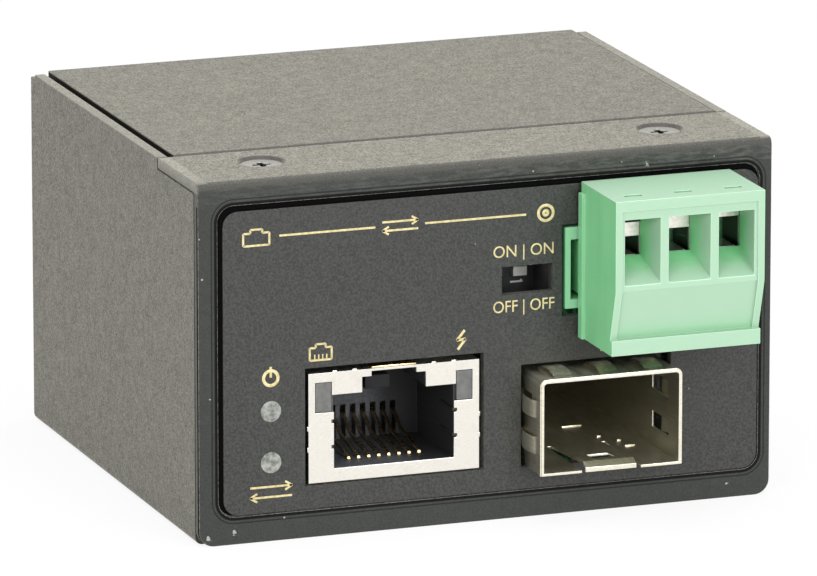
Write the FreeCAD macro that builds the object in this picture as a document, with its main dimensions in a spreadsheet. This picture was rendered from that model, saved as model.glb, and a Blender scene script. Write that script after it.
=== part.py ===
import FreeCAD, Part
import math
import os
import re
from types import SimpleNamespace

import Sketcher

# Fibre media converter in a folded sheet-metal case, in millimetres.
# The origin is the middle of the case's footprint: +X right, +Y back, +Z up.
# The front face of the case lies at Y = -case_depth / 2. "Depth" below is measured from it, towards the back.

SIZES = (
    # Case
    ("case_width", 58.0),
    ("case_depth", 51.0),
    ("case_height", 35.3),
    ("sheet", 1.0),
    ("bend_radius", 0.3),
    ("fold_radius", 0.7),
    ("fold_gap", 0.2),
    ("plate_corner_radius", 1.5),
    ("flange_length", 11.7),
    ("cover_gap_left", 0.8),
    ("cover_gap_right", 0.05),
    ("lip_setback", 2.4),
    ("rear_fold_drop", 0.45),
    ("weld_tab_width", 3.4),
    ("weld_tab_low", 6.0),
    ("weld_tab_height", 10.0),
    ("hook_tab_width", 8.0),
    ("hook_tab_height", 7.0),
    ("hook_tab_spacing", 29.0),
    ("clip_hole_spacing", 25.0),
    # Screws, nuts and standoffs
    ("cover_screw_spacing", 40.4),
    ("cover_screw_depth", 7.1),
    ("rear_screw_drop", 4.7),
    ("screw_radius", 1.2),
    ("screw_clearance", 0.05),
    ("screw_length", 4.5),
    ("sink_radius", 2.35),
    ("head_radius", 2.05),
    ("head_sink", 0.3),
    ("drive_width", 0.55),
    ("drive_length", 1.8),
    ("drive_depth", 0.7),
    ("nut_radius", 2.6),
    ("nut_height", 1.5),
    ("nut_shank_radius", 1.9),
    ("clip_nut_radius", 3.1),
    ("clip_nut_shank_radius", 2.3),
    ("clip_thread_radius", 1.45),
    ("standoff_radius", 2.5),
    ("standoff_height", 2.4),
    ("standoff_inset", 4.5),
    ("standoff_front_depth", 18.0),
    ("standoff_rear_inset", 4.6),
    ("stack_split", 0.62195),
    ("pan_head_radius", 2.2),
    ("pan_head_height", 1.6),
    # Front label
    ("recess_margin_left", 1.95),
    ("recess_margin_right", 1.25),
    ("recess_low", 2.7),
    ("recess_margin_high", 2.35),
    ("recess_radius", 1.6),
    ("label_thickness", 0.25),
    ("label_gap_left", 0.5),
    ("label_gap_right", 0.1),
    ("label_gap_low", 0.1),
    ("label_gap_high", 0.6),
    # Boards
    ("board_thickness", 1.6),
    ("board_margin", 0.8),
    ("board_front_depth", 1.5),
    ("board_rear_margin", 2.6),
    # Network jack
    ("jack_inset", 11.03),
    ("jack_width", 17.24),
    ("jack_height", 10.75),
    ("jack_length", 15.6),
    ("jack_setback", 0.2),
    ("jack_lift", 0.2),
    ("jack_gap_side", 0.38),
    ("jack_gap_low", 0.15),
    ("jack_gap_high", 0.6),
    ("shield_sheet", 0.25),
    ("port_width", 12.1),
    ("port_low", 1.3),
    ("port_height", 7.2),
    ("port_length", 10.3),
    ("latch_width", 6.4),
    ("latch_margin", 0.5),
    ("latch_slot_width", 4.5),
    ("latch_room_width", 9.6),
    ("latch_room_depth", 7.8),
    ("latch_room_length", 6.4),
    ("lamp_window_rim", 0.69),
    ("lamp_window_height", 2.95),
    ("lamp_window_high", 0.95),
    ("lamp_window_wall", 0.22),
    ("jack_lamp_length", 8.0),
    ("notch_height", 0.35),
    ("notch_width", 0.25),
    ("notch_low", 1.95),
    ("notch_margin", 0.75),
    ("jack_leg_depth", 6.0),
    ("jack_peg_radius", 1.5),
    ("jack_peg_depth", 8.6),
    ("jack_peg_spacing", 11.4),
    ("jack_peg_shoulder", 0.5),
    ("jack_pitch", 1.02),
    ("wire_width", 0.4),
    ("wire_thickness", 0.28),
    ("wire_gap", 0.08),
    ("wire_lift", 0.4),
    ("wire_tip_depth", 3.0),
    ("wire_tip_height", 0.25),
    ("wire_rise", 2.75),
    ("wire_run", 8.1),
    ("wire_knee_rise", 0.95),
    ("wire_knee_run", 5.2),
    ("wire_pin_depth", 12.7),
    # Optical module cage
    ("cage_shift", 0.465),
    ("cage_width", 14.24),
    ("cage_height", 9.32),
    ("cage_length", 48.4),
    ("cage_reach", 4.2),
    ("cage_sheet", 0.25),
    ("cage_corner_radius", 0.55),
    ("cage_gap_side", 0.53),
    ("cage_gap_high", 0.69),
    ("cage_gap_low", 0.1),
    ("finger_width", 1.9),
    ("finger_thickness", 0.12),
    ("finger_bow", 0.42),
    ("finger_length", 4.4),
    ("collar_band", 0.7),
    ("collar_setback", 0.1),
    ("finger_spacing_top", 4.6),
    ("finger_spacing_side", 3.55),
    ("finger_middle_side", 4.6),
    ("finger_width_side", 1.7),
    ("tab_width", 5.2),
    ("tab_slit", 0.4),
    ("tab_length", 9.5),
    ("tab_rise", 0.9),
    ("tab_eye_start", 2.0),
    ("tab_eye_width", 2.2),
    ("tab_eye_length", 1.9),
    ("cage_window_length", 4.3),
    ("cage_window_height", 1.6),
    ("cage_window_start", 2.7),
    ("cage_window_low", 2.0),
    ("cage_window_pitch", 3.9),
    ("cage_leg_start", 9.0),
    ("cage_leg_pitch", 10.0),
    ("leg_width", 0.8),
    ("leg_length", 2.4),
    ("host_width", 11.4),
    ("host_height", 5.4),
    ("host_length", 8.6),
    ("host_rear_gap", 1.3),
    ("host_gap", 0.3),
    ("host_slot_width", 9.2),
    ("host_slot_height", 1.3),
    ("host_slot_length", 5.5),
    ("host_pin_pitch", 0.8),
    ("host_pin_width", 0.3),
    ("host_pin_length", 1.0),
    ("host_pin_thickness", 0.15),
    # Status lamps
    ("lamp_inset", 7.2),
    ("lamp_low", 7.7),
    ("lamp_pitch", 5.0),
    ("lamp_radius", 1.0),
    ("lamp_body_radius", 1.45),
    ("lamp_hole_radius", 1.1),
    ("lamp_setback", 0.3),
    ("lamp_body_length", 3.6),
    ("lamp_holder_width", 4.8),
    ("lamp_holder_length", 6.0),
    ("lamp_holder_margin", 2.4),
    ("lead_size", 0.5),
    ("lead_offset", 0.9),
    ("lead_drop_depth", 7.8),
    ("lead_drop_step", 1.3),
    # Option switch
    ("switch_gap", 0.56),
    ("switch_lift", 3.28),
    ("switch_window_width", 5.12),
    ("switch_window_height", 2.76),
    ("switch_depth", 5.9),
    ("switch_width", 6.6),
    ("switch_length", 4.2),
    ("switch_height", 6.5),
    ("switch_pitch", 2.54),
    ("knob_width", 1.42),
    ("knob_height", 0.95),
    ("knob_reach", 0.6),
    ("knob_travel", 1.05),
    ("knob_gap", 0.05),
    ("switch_wall", 0.9),
    ("switch_cheek", 0.5),
    ("switch_cheek_gap", 0.6),
    ("foot_margin", 0.3),
    ("foot_length", 1.6),
    ("switch_pin_width", 0.5),
    ("switch_pin_inset", 0.9),
    # Terminal block
    ("terminal_inset", 3.0),
    ("pole_pitch", 5.08),
    ("header_side_room", 1.47),
    ("header_height", 8.0),
    ("header_length", 12.0),
    ("header_wall_side", 0.58),
    ("header_wall_low", 0.9),
    ("header_wall_high", 1.25),
    ("mouth_length", 9.2),
    ("header_gap_side", 0.3),
    ("header_gap_low", 0.7),
    ("header_gap_high", 0.3),
    ("pin_size", 1.0),
    ("pin_height", 3.9),
    ("pin_setback", 1.5),
    ("pin_drop_gap", 1.0),
    ("plug_end", 2.5),
    ("plug_drop", 2.75),
    ("plug_height", 15.25),
    ("plug_gap", 0.35),
    ("plug_reach", 9.5),
    ("plug_rib", 0.3),
    ("plug_rib_margin", 1.05),
    ("tongue_inset", 0.11),
    ("tongue_margin", 0.35),
    ("tongue_length", 8.0),
    ("face_lift", 6.41),
    ("face_height", 7.79),
    ("face_rim", 0.7),
    ("face_rebate", 0.2),
    ("lower_rebate", 0.3),
    ("lean", 1.45),
    ("ledge_reach", 0.5),
    ("top_notch_width", 1.8),
    ("top_notch_length", 0.6),
    ("top_notch_depth", 0.25),
    ("top_notch_setback", 1.8),
    ("ledge_height", 1.5),
    ("entry_margin_low", 0.44),
    ("entry_margin_high", 0.85),
    ("entry_bar", 0.75),
    ("entry_wall", 1.0),
    ("entry_step", 2.22),
    ("entry_length", 3.8),
    ("throat_width", 2.8),
    ("chamber_width", 4.0),
    ("chamber_length", 4.5),
    ("clamp_gap", 0.12),
    ("clamp_lift", 2.89),
    ("clamp_inner_height", 4.1),
    ("clamp_top", 1.35),
    ("clamp_base", 1.6),
    ("clamp_side", 0.48),
    ("clamp_drop_left", 1.1),
    ("clamp_drop_middle", 0.68),
    ("clamp_drop_right", 0.0),
    ("clamp_screw_radius", 1.15),
    ("clamp_thread_gap", 0.06),
    ("clamp_head_radius", 1.75),
    ("clamp_head_height", 1.8),
    ("clamp_head_seat", 0.7),
    ("clamp_floor", 0.6),
    ("contact_thickness", 1.0),
    ("contact_width", 2.0),
    ("contact_web", 0.7),
    ("contact_gap", 0.05),
    ("socket_wall", 0.5),
    ("socket_gap", 0.1),
    ("socket_end", 0.4),
    # Small parts on the boards
    ("seat_gap", 0.05),
    ("lead_gap", 0.12),
    ("gull_width", 0.4),
    ("gull_length", 0.9),
    ("gull_thickness", 0.15),
    ("link_pin", 0.64),
    ("link_pitch", 2.54),
    ("link_stub", 1.2),
    ("bobbin_height", 1.5),
    ("core_leg", 3.2),
    ("core_yoke", 2.2),
    ("core_length", 7.0),
    ("can_lead_spacing", 3.0),
    ("chip_capacitor_width", 1.6),
    ("chip_capacitor_size", 0.8),
    ("chip_capacitor_pitch", 2.4),
    ("chip_capacitor_shift", -0.25),
    ("core_regulator_depth", 12.0),
    ("power_controller_x", -13.0),
    ("power_controller_depth", 10.5),
    ("power_inductor_x", -4.6),
    ("power_transformer_x", -5.2),
    ("power_transformer_depth", 31.0),
    ("input_fuse_x", 9.0),
    ("input_fuse_depth", 19.4),
    ("input_diode_x", 16.4),
    ("input_diode_depth", 19.4),
    ("input_capacitor_x", 12.4),
    ("input_capacitor_depth", 32.2),
    ("output_capacitor_inset", 12.0),
    ("output_capacitor_depth", 20.4),
    ("chip_capacitor_margin", 2.2),
    ("main_chip_shift", 0.55),
    ("main_chip_forward", 1.9),
    ("lan_transformer_gap", 2.5),
    ("flash_memory_shift", -5.85),
    ("flash_memory_margin", 1.8),
    ("link_socket_inset", 7.5),
    ("link_socket_back", 1.3),
    ("core_regulator_inset", 7.1),
    ("crystal_inset", 7.5),
    ("crystal_gap", 0.6),
    ("inductor_gap", 0.5),
)

# Parts soldered to a board: name, width, length, height. Each becomes three sizes of its own.
BOARD_PARTS = (
    ("main_chip", 12.0, 12.0, 1.2),
    ("lan_transformer", 15.2, 8.6, 4.8),
    ("flash_memory", 4.0, 3.2, 1.5),
    ("crystal", 3.2, 2.5, 0.8),
    ("core_regulator", 5.0, 4.0, 1.5),
    ("link_socket", 5.0, 12.7, 11.0),
    ("power_controller", 5.0, 4.0, 1.5),
    ("power_inductor", 8.0, 8.0, 4.2),
    ("power_transformer", 16.0, 14.0, 11.0),
    ("input_fuse", 8.4, 8.4, 7.5),
    ("input_diode", 4.6, 3.6, 2.3),
    ("input_capacitor", 10.0, 10.0, 11.5),
    ("output_capacitor", 6.3, 6.3, 9.0),
)
for name, *numbers in BOARD_PARTS:
    SIZES += tuple((f"{name}_{field}", number) for field, number in zip(("width", "length", "height"), numbers))

FRONT = "(-case_depth / 2)"
BOARD_LOW = "(sheet + standoff_height)"
BOARD_TOP = "(sheet + standoff_height + board_thickness)"
POWER_LOW = f"({BOARD_TOP} + spacer_height)"
POWER_TOP = f"({POWER_LOW} + board_thickness)"
JACK_LOW = f"({BOARD_TOP} + jack_lift)"

# Places and lengths that follow from the sizes: formulas of the same sheet, each from what stands above it.
PLACES = (
    ("standoff_spacing", "case_width - 2 * standoff_inset"),
    ("standoff_rear_depth", "case_depth - standoff_rear_inset"),
    ("board_rear_depth", "case_depth - board_rear_margin"),
    ("rear_screw_height", "case_height - rear_screw_drop"),
    ("clip_hole_height", "case_height / 2"),
    ("recess_left", "case_width / 2 - recess_margin_left"),
    ("recess_right", "case_width / 2 - recess_margin_right"),
    ("recess_high", "case_height - recess_margin_high"),
    # The height left over between the jack and the cover screws' tips is split by the power board.
    (
        "spare_height",
        "case_height - head_sink - (head_radius - screw_radius) - screw_length"
        f" - header_height - board_thickness - ({JACK_LOW} + jack_height)",
    ),
    ("spacer_height", "jack_lift + jack_height + stack_split * spare_height"),
    ("lamp_x", "lamp_inset - case_width / 2"),
    ("jack_x", "jack_inset + jack_width / 2 - case_width / 2"),
    ("latch_height", "jack_height - shield_sheet - port_low - port_height - latch_margin"),
    ("lamp_window_width", "(jack_width - port_width) / 2 - lamp_window_wall - lamp_window_rim"),
    (
        "notch_pitch",
        "jack_height - lamp_window_high - lamp_window_height - port_low - notch_low - notch_height - notch_margin",
    ),
    ("cage_x", "(jack_x + jack_width / 2 + standoff_spacing / 2 - standoff_radius) / 2 + cage_shift"),
    ("host_depth", "cage_length - cage_reach - cage_sheet - host_rear_gap - host_length"),
    ("plug_width", "2 * pole_pitch + 2 * plug_end"),
    ("header_width", "plug_width + 2 * header_side_room"),
    ("terminal_x", "case_width / 2 - terminal_inset - header_width / 2"),
    ("switch_x", "terminal_x - header_width / 2 - switch_gap - switch_width / 2"),
    ("switch_z", f"{POWER_TOP} + switch_lift"),
    ("plug_low", f"{POWER_TOP} - plug_drop"),
    ("plug_high", "plug_low + plug_height"),
    ("face_low", "plug_low + face_lift"),
    ("face_high", "face_low + face_height"),
    ("entry_low", "face_low + entry_margin_low"),
    ("entry_high", "face_high - entry_margin_high"),
    ("entry_floor", "entry_low + entry_step"),
    ("clamp_open", "entry_floor + clamp_lift"),
    ("lan_transformer_x", "jack_x"),
    ("lan_transformer_depth", "jack_setback + jack_length + lan_transformer_gap + lan_transformer_length / 2"),
    ("main_chip_x", "jack_x + main_chip_shift"),
    (
        "main_chip_depth",
        "(lan_transformer_depth + lan_transformer_length / 2 + board_rear_depth) / 2 - main_chip_forward",
    ),
    ("flash_memory_x", "jack_x + flash_memory_shift"),
    ("flash_memory_depth", "board_rear_depth - flash_memory_margin"),
    ("chip_capacitor_start", "jack_x + chip_capacitor_shift"),
    ("chip_capacitor_depth", "board_rear_depth - chip_capacitor_margin"),
    ("crystal_x", "crystal_inset - case_width / 2"),
    ("crystal_depth", "standoff_front_depth + standoff_radius + crystal_gap + crystal_length / 2"),
    ("core_regulator_x", "core_regulator_inset - case_width / 2"),
    ("link_socket_x", "link_socket_inset - case_width / 2"),
    ("link_socket_depth", "(standoff_front_depth + standoff_rear_depth) / 2 + link_socket_back"),
    ("output_capacitor_x", "output_capacitor_inset - case_width / 2"),
    ("power_inductor_depth", "switch_depth + switch_length + inductor_gap + power_inductor_length / 2"),
)

JACK_FRONT = f"({FRONT} + jack_setback)"
CAGE_FRONT = f"({FRONT} - cage_reach)"
PIN_Z = f"({POWER_TOP} + pin_height)"

document = FreeCAD.newDocument("fibre_media_converter")
sizes_sheet = document.addObject("Spreadsheet::Sheet", "Sizes")
for row, (alias, number) in enumerate(SIZES + PLACES, start=1):
    sizes_sheet.set(f"A{row}", alias)
    sizes_sheet.set(f"B{row}", f"={number}")
    sizes_sheet.setAlias(f"B{row}", alias)
document.recompute()
S = SimpleNamespace(**{alias: float(sizes_sheet.get(alias)) for alias, _ in SIZES + PLACES})

front = -S.case_depth / 2
board_top = S.sheet + S.standoff_height + S.board_thickness

WORD = re.compile(r"[a-z][a-z_]+")
nodes = []
main_drills = []
power_drills = []


def bound(expression):
    """Point each size named in an expression at its spreadsheet cell."""
    return WORD.sub(lambda match: f"Sizes.{match.group(0)}", str(expression))


def node(piece):
    """Note a finished sub-part, whose Label names its file."""
    nodes.append(piece)
    return piece


def centred(centre, width):
    """Low end and length of a span about its centre."""
    return f"({centre}) - ({width}) / 2", width


# --- Part primitives and booleans ---------------------------------------------------------------------


def place(piece, x, y, z):
    """Bind a piece's place to expressions."""
    for axis, expression in (("x", x), ("y", y), ("z", z)):
        piece.setExpression(f"Placement.Base.{axis}", bound(expression))
    return piece


def box(name, x, y, z):
    """A block given by its low end and length along each axis."""
    solid = document.addObject("Part::Box", name)
    for field, (_, length) in (("Length", x), ("Width", y), ("Height", z)):
        solid.setExpression(field, bound(length))
    return place(solid, x[0], y[0], z[0])


TURNS = {
    "x": FreeCAD.Rotation(FreeCAD.Vector(0, 1, 0), 90),
    "y": FreeCAD.Rotation(FreeCAD.Vector(1, 0, 0), -90),
    "z": FreeCAD.Rotation(),
}


def cylinder(name, axis, radius, start, length):
    """A cylinder that runs from its start along +axis."""
    solid = document.addObject("Part::Cylinder", name)
    solid.Placement = FreeCAD.Placement(FreeCAD.Vector(), TURNS[axis])
    solid.setExpression("Radius", bound(radius))
    solid.setExpression("Height", bound(length))
    return place(solid, *start)


def cone(name, axis, radius_start, radius_end, start, length):
    """A cone frustum that runs from its start along +axis."""
    solid = document.addObject("Part::Cone", name)
    solid.Placement = FreeCAD.Placement(FreeCAD.Vector(), TURNS[axis])
    solid.setExpression("Radius1", bound(radius_start))
    solid.setExpression("Radius2", bound(radius_end))
    solid.setExpression("Height", bound(length))
    return place(solid, *start)


def fuse(name, pieces):
    """Several touching pieces made one."""
    result = document.addObject("Part::MultiFuse", name)
    result.Shapes = pieces
    result.Refine = True
    return result


def cut(name, base, tools):
    """A base with tools taken out of it."""
    result = document.addObject("Part::Cut", name)
    result.Base = base
    result.Tool = tools[0] if len(tools) == 1 else fuse(f"{name}_tools", tools)
    result.Refine = True
    return result


def group(name, pieces):
    """Several separate solids kept as one sub-part."""
    result = document.addObject("Part::Compound", name)
    result.Links = pieces
    return result


def shaped(name, shape):
    """A sub-part whose shape Part's own functions make."""
    piece = document.addObject("Part::Feature", name)
    piece.Shape = shape
    return piece


def edges_at(shape, x=None, y=None, z=None):
    """Names of the edges that lie wholly at the given coordinates."""
    wanted = [(axis, number) for axis, number in (("x", x), ("y", y), ("z", z)) if number is not None]
    found = []
    for index, edge in enumerate(shape.Edges, start=1):
        points = [vertex.Point for vertex in edge.Vertexes]
        if all(abs(getattr(point, axis) - number) < 1e-4 for point in points for axis, number in wanted):
            found.append(f"Edge{index}")
    return found


# --- PartDesign bodies --------------------------------------------------------------------------------


def sketch_in(body, name, role, offset="0"):
    """A sketch on one of the body's own origin planes, moved along the plane's normal."""
    plane = next(feature for feature in body.Origin.OriginFeatures if feature.Role == role)
    sketch = body.newObject("Sketcher::SketchObject", name)
    sketch.AttachmentSupport = [(plane, "")]
    sketch.MapMode = "FlatFace"
    sketch.setExpression("AttachmentOffset.Base.z", bound(offset))
    return sketch


def tie(sketch, kind, geometry, point, expression, number):
    """Constrain a point's distance from the sketch's origin by an expression."""
    index = sketch.addConstraint(Sketcher.Constraint(kind, -1, 1, geometry, point, number))
    sketch.setExpression(f"Constraints[{index}]", bound(expression))


def polygon(sketch, points):
    """A closed outline whose corners follow pairs of expressions."""
    count = len(points)
    turn = 2 * math.pi / count
    ring = [FreeCAD.Vector(math.cos(turn * i), math.sin(turn * i), 0) * 10 for i in range(count)]
    first = sketch.GeometryCount
    for i in range(count):
        sketch.addGeometry(Part.LineSegment(ring[i], ring[(i + 1) % count]), False)
    for i in range(count):
        sketch.addConstraint(Sketcher.Constraint("Coincident", first + i, 2, first + (i + 1) % count, 1))
    for i, (across, up) in enumerate(points):
        tie(sketch, "DistanceX", first + i, 1, across, ring[i].x)
        tie(sketch, "DistanceY", first + i, 1, up, ring[i].y)


def rectangle(sketch, low_x, low_y, high_x, high_y):
    """A rectangle whose sides follow expressions."""
    polygon(sketch, [(low_x, low_y), (high_x, low_y), (high_x, high_y), (low_x, high_y)])


def circle(sketch, x, y, radius):
    """A circle whose centre and radius follow expressions."""
    middle = FreeCAD.Vector(1, 1, 0)
    index = sketch.addGeometry(Part.Circle(middle, FreeCAD.Vector(0, 0, 1), 1.0), False)
    tie(sketch, "DistanceX", index, 3, x, middle.x)
    tie(sketch, "DistanceY", index, 3, y, middle.y)
    size = sketch.addConstraint(Sketcher.Constraint("Radius", index, 1.0))
    sketch.setExpression(f"Constraints[{size}]", bound(radius))


def pad(body, name, sketch, length, midplane=False, reverse=False):
    """Material added along a sketch's normal."""
    feature = body.newObject("PartDesign::Pad", name)
    feature.Profile = sketch
    feature.setExpression("Length", bound(length))
    feature.Midplane = midplane
    feature.Reversed = reverse
    document.recompute()
    return feature


def pocket(body, name, sketch, length=None, midplane=False, reverse=False):
    """Material taken away against a sketch's normal; right through with no length."""
    before = body.Shape.Volume
    feature = body.newObject("PartDesign::Pocket", name)
    feature.Profile = sketch
    if length is None:
        feature.Type = "ThroughAll"
    else:
        feature.setExpression("Length", bound(length))
    feature.Midplane = midplane
    feature.Reversed = reverse
    document.recompute()
    if body.Shape.Volume >= before:
        raise RuntimeError(f"{name} cuts nothing")
    return feature


def fold(body, name, edges, radius):
    """Edges of the body rounded by an expression."""
    base = body.Tip
    feature = body.newObject("PartDesign::Fillet", name)
    feature.Base = (base, edges)
    feature.setExpression("Radius", bound(radius))
    document.recompute()
    return feature


def hollow(body, name, planes, thickness):
    """Leave a wall's thickness, open where a face lies in one of the planes (axis, coordinate)."""
    faces = []
    for index, face in enumerate(body.Shape.Faces, start=1):
        middle = face.CenterOfMass
        if any(abs(getattr(middle, axis) - number) < 1e-4 for axis, number in planes):
            faces.append(f"Face{index}")
    base = body.Tip
    feature = body.newObject("PartDesign::Thickness", name)
    feature.Base = (base, faces)
    feature.setExpression("Value", bound(thickness))
    feature.Reversed = True
    document.recompute()


def sink_holes(body, name, sketch, reverse=False):
    """Countersunk screw holes through one sheet, where a sketch has circles."""
    document.recompute()
    feature = body.newObject("PartDesign::Hole", name)
    feature.Profile = sketch
    document.recompute()
    feature.ThreadType = "None"
    feature.DepthType = "Dimension"
    feature.setExpression("Depth", bound("sheet * 1.5"))
    feature.setExpression("Diameter", bound("2 * (sink_radius - sheet)"))
    feature.HoleCutType = "Countersink"
    feature.HoleCutCustomValues = True
    feature.setExpression("HoleCutDiameter", bound("2 * sink_radius"))
    feature.HoleCutCountersinkAngle = 90
    feature.Reversed = reverse
    document.recompute()
    return feature


# --- Case ---------------------------------------------------------------------------------------------

# Each opening of the front: its low and high X, then its low and high Z.
OPENINGS = (
    (
        "jack_x - jack_width / 2 - jack_gap_side",
        "jack_x + jack_width / 2 + jack_gap_side",
        f"{JACK_LOW} - jack_gap_low",
        f"{JACK_LOW} + jack_height + jack_gap_high",
    ),
    (
        "cage_x - cage_width / 2 - cage_gap_side",
        "cage_x + cage_width / 2 + cage_gap_side",
        f"{BOARD_TOP} - cage_gap_low",
        f"{BOARD_TOP} + cage_height + cage_gap_high",
    ),
    (
        "switch_x - switch_window_width / 2",
        "switch_x + switch_window_width / 2",
        "switch_z - switch_window_height / 2",
        "switch_z + switch_window_height / 2",
    ),
    (
        "terminal_x - header_width / 2 - header_gap_side",
        "terminal_x + header_width / 2 + header_gap_side",
        f"{POWER_TOP} - header_gap_low",
        f"{POWER_TOP} + header_height + header_gap_high",
    ),
)
SIDES = (-1, 1)


def cut_openings(body, name):
    """Cut the front's four openings through a plate in the XZ plane."""
    sketch = sketch_in(body, f"{name}_outline", "XZ_Plane", "case_depth / 2")
    for low_x, high_x, low_z, high_z in OPENINGS:
        rectangle(sketch, low_x, low_z, high_x, high_z)
    return pocket(body, name, sketch)


def front_panel():
    """Front plate with its top flange, folded from one sheet."""
    body = document.addObject("PartDesign::Body", "front_panel")
    profile = sketch_in(body, "panel_profile", "YZ_Plane")
    polygon(profile, [
        (FRONT, "0"),
        (f"{FRONT} + sheet", "0"),
        (f"{FRONT} + sheet", "case_height - sheet"),
        (f"{FRONT} + flange_length", "case_height - sheet"),
        (f"{FRONT} + flange_length", "case_height"),
        (FRONT, "case_height"),
    ])
    pad(body, "panel_sheet", profile, "case_width", midplane=True)
    outer = edges_at(body.Shape, y=front, z=S.case_height)
    fold(body, "panel_fold_outside", outer, "fold_radius")
    inner = edges_at(body.Shape, y=front + S.sheet, z=S.case_height - S.sheet)
    fold(body, "panel_fold_inside", inner, "bend_radius")
    corners = []
    for side in SIDES:
        corners += edges_at(body.Shape, x=side * S.case_width / 2, z=0)
    fold(body, "panel_corners", corners, "plate_corner_radius")
    recess = sketch_in(body, "recess_outline", "XZ_Plane", "case_depth / 2")
    rectangle(recess, "-recess_left", "recess_low", "recess_right", "recess_high")
    pocket(body, "label_recess", recess, "label_thickness")
    corners = []
    for x in (-S.recess_left, S.recess_right):
        for z in (S.recess_low, S.recess_high):
            corners += edges_at(body.Shape, x=x, z=z)
    fold(body, "recess_corners", corners, "recess_radius")
    cut_openings(body, "panel_openings")
    lamps = sketch_in(body, "lamp_hole_outline", "XZ_Plane", "case_depth / 2")
    circle(lamps, "lamp_x", "lamp_low", "lamp_hole_radius")
    circle(lamps, "lamp_x", "lamp_low + lamp_pitch", "lamp_hole_radius")
    pocket(body, "lamp_holes", lamps)
    screws = sketch_in(body, "flange_hole_outline", "XY_Plane", "case_height")
    for side in SIDES:
        circle(screws, f"{side} * cover_screw_spacing / 2", f"{FRONT} + cover_screw_depth", "sink_radius")
    sink_holes(body, "flange_holes", screws)
    node(body)


def base_shell():
    """Bottom, both sides and back, folded up from one sheet and welded at the rear corners."""
    body = document.addObject("PartDesign::Body", "base_shell")
    start = "sheet + fold_gap"
    outline = sketch_in(body, "shell_outline", "XY_Plane")
    rectangle(outline, "-case_width / 2", f"{FRONT} + {start}", "case_width / 2", "case_depth / 2")
    pad(body, "shell_block", outline, "case_height")
    hollow(body, "shell_sheet", (("z", S.case_height), ("y", front + S.sheet + S.fold_gap)), "sheet")
    for name, inset, radius in (("shell_folds", 0, "fold_radius"), ("shell_inner_folds", S.sheet, "bend_radius")):
        folds = edges_at(body.Shape, y=S.case_depth / 2 - inset, z=inset)
        for side in SIDES:
            folds += edges_at(body.Shape, x=side * (S.case_width / 2 - inset), z=inset)
        fold(body, name, folds, radius)
    flange_slot = sketch_in(body, "flange_slot_outline", "YZ_Plane")
    rectangle(
        flange_slot,
        FRONT,
        "case_height - sheet - fold_gap",
        f"{FRONT} + flange_length + fold_gap",
        "case_height + sheet",
    )
    pocket(body, "flange_slot", flange_slot, midplane=True)
    slot_z = S.case_height - S.sheet - S.fold_gap
    fold(body, "side_corners", edges_at(body.Shape, y=front + S.sheet + S.fold_gap, z=slot_z), "bend_radius")
    back_step = sketch_in(body, "back_step_outline", "YZ_Plane")
    rectangle(
        back_step,
        "case_depth / 2 - sheet - bend_radius",
        "case_height - rear_fold_drop",
        "case_depth / 2 + sheet",
        "case_height + sheet",
    )
    pocket(body, "back_step", back_step, midplane=True)
    cover_slot = sketch_in(body, "cover_slot_outline", "XY_Plane", "case_height - sheet - fold_gap")
    rectangle(
        cover_slot,
        "-case_width / 2 + sheet",
        "case_depth / 2 - sheet * 2",
        "case_width / 2 - sheet",
        "case_depth / 2 + sheet",
    )
    pocket(body, "cover_slot", cover_slot, reverse=True)
    tabs = sketch_in(body, "weld_tab_outline", "XZ_Plane", f"case_depth / 2 - ({start})")
    for side in SIDES:
        edge = f"{side} * (case_width / 2 - sheet)"
        rectangle(tabs, edge, "weld_tab_low", f"{edge} - {side} * weld_tab_width", "weld_tab_low + weld_tab_height")
    pad(body, "weld_tabs", tabs, "sheet", reverse=True)
    feet = sketch_in(body, "standoff_hole_outline", "XY_Plane")
    for side in SIDES:
        for depth in ("standoff_front_depth", "standoff_rear_depth"):
            circle(feet, f"{side} * standoff_spacing / 2", f"{FRONT} + {depth}", "nut_shank_radius")
    pocket(body, "standoff_holes", feet, "sheet * 2", reverse=True)
    clips = sketch_in(body, "clip_hole_outline", "XZ_Plane", "-case_depth / 2")
    for side in SIDES:
        circle(clips, f"{side} * clip_hole_spacing / 2", "clip_hole_height", "clip_nut_shank_radius")
    pocket(body, "clip_holes", clips, "sheet * 2", reverse=True)
    screws = sketch_in(body, "rear_hole_outline", "XZ_Plane", "-case_depth / 2")
    for side in SIDES:
        circle(screws, f"{side} * hook_tab_spacing / 2", "rear_screw_height", "sink_radius")
    sink_holes(body, "rear_holes", screws, reverse=True)
    node(body)


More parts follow.
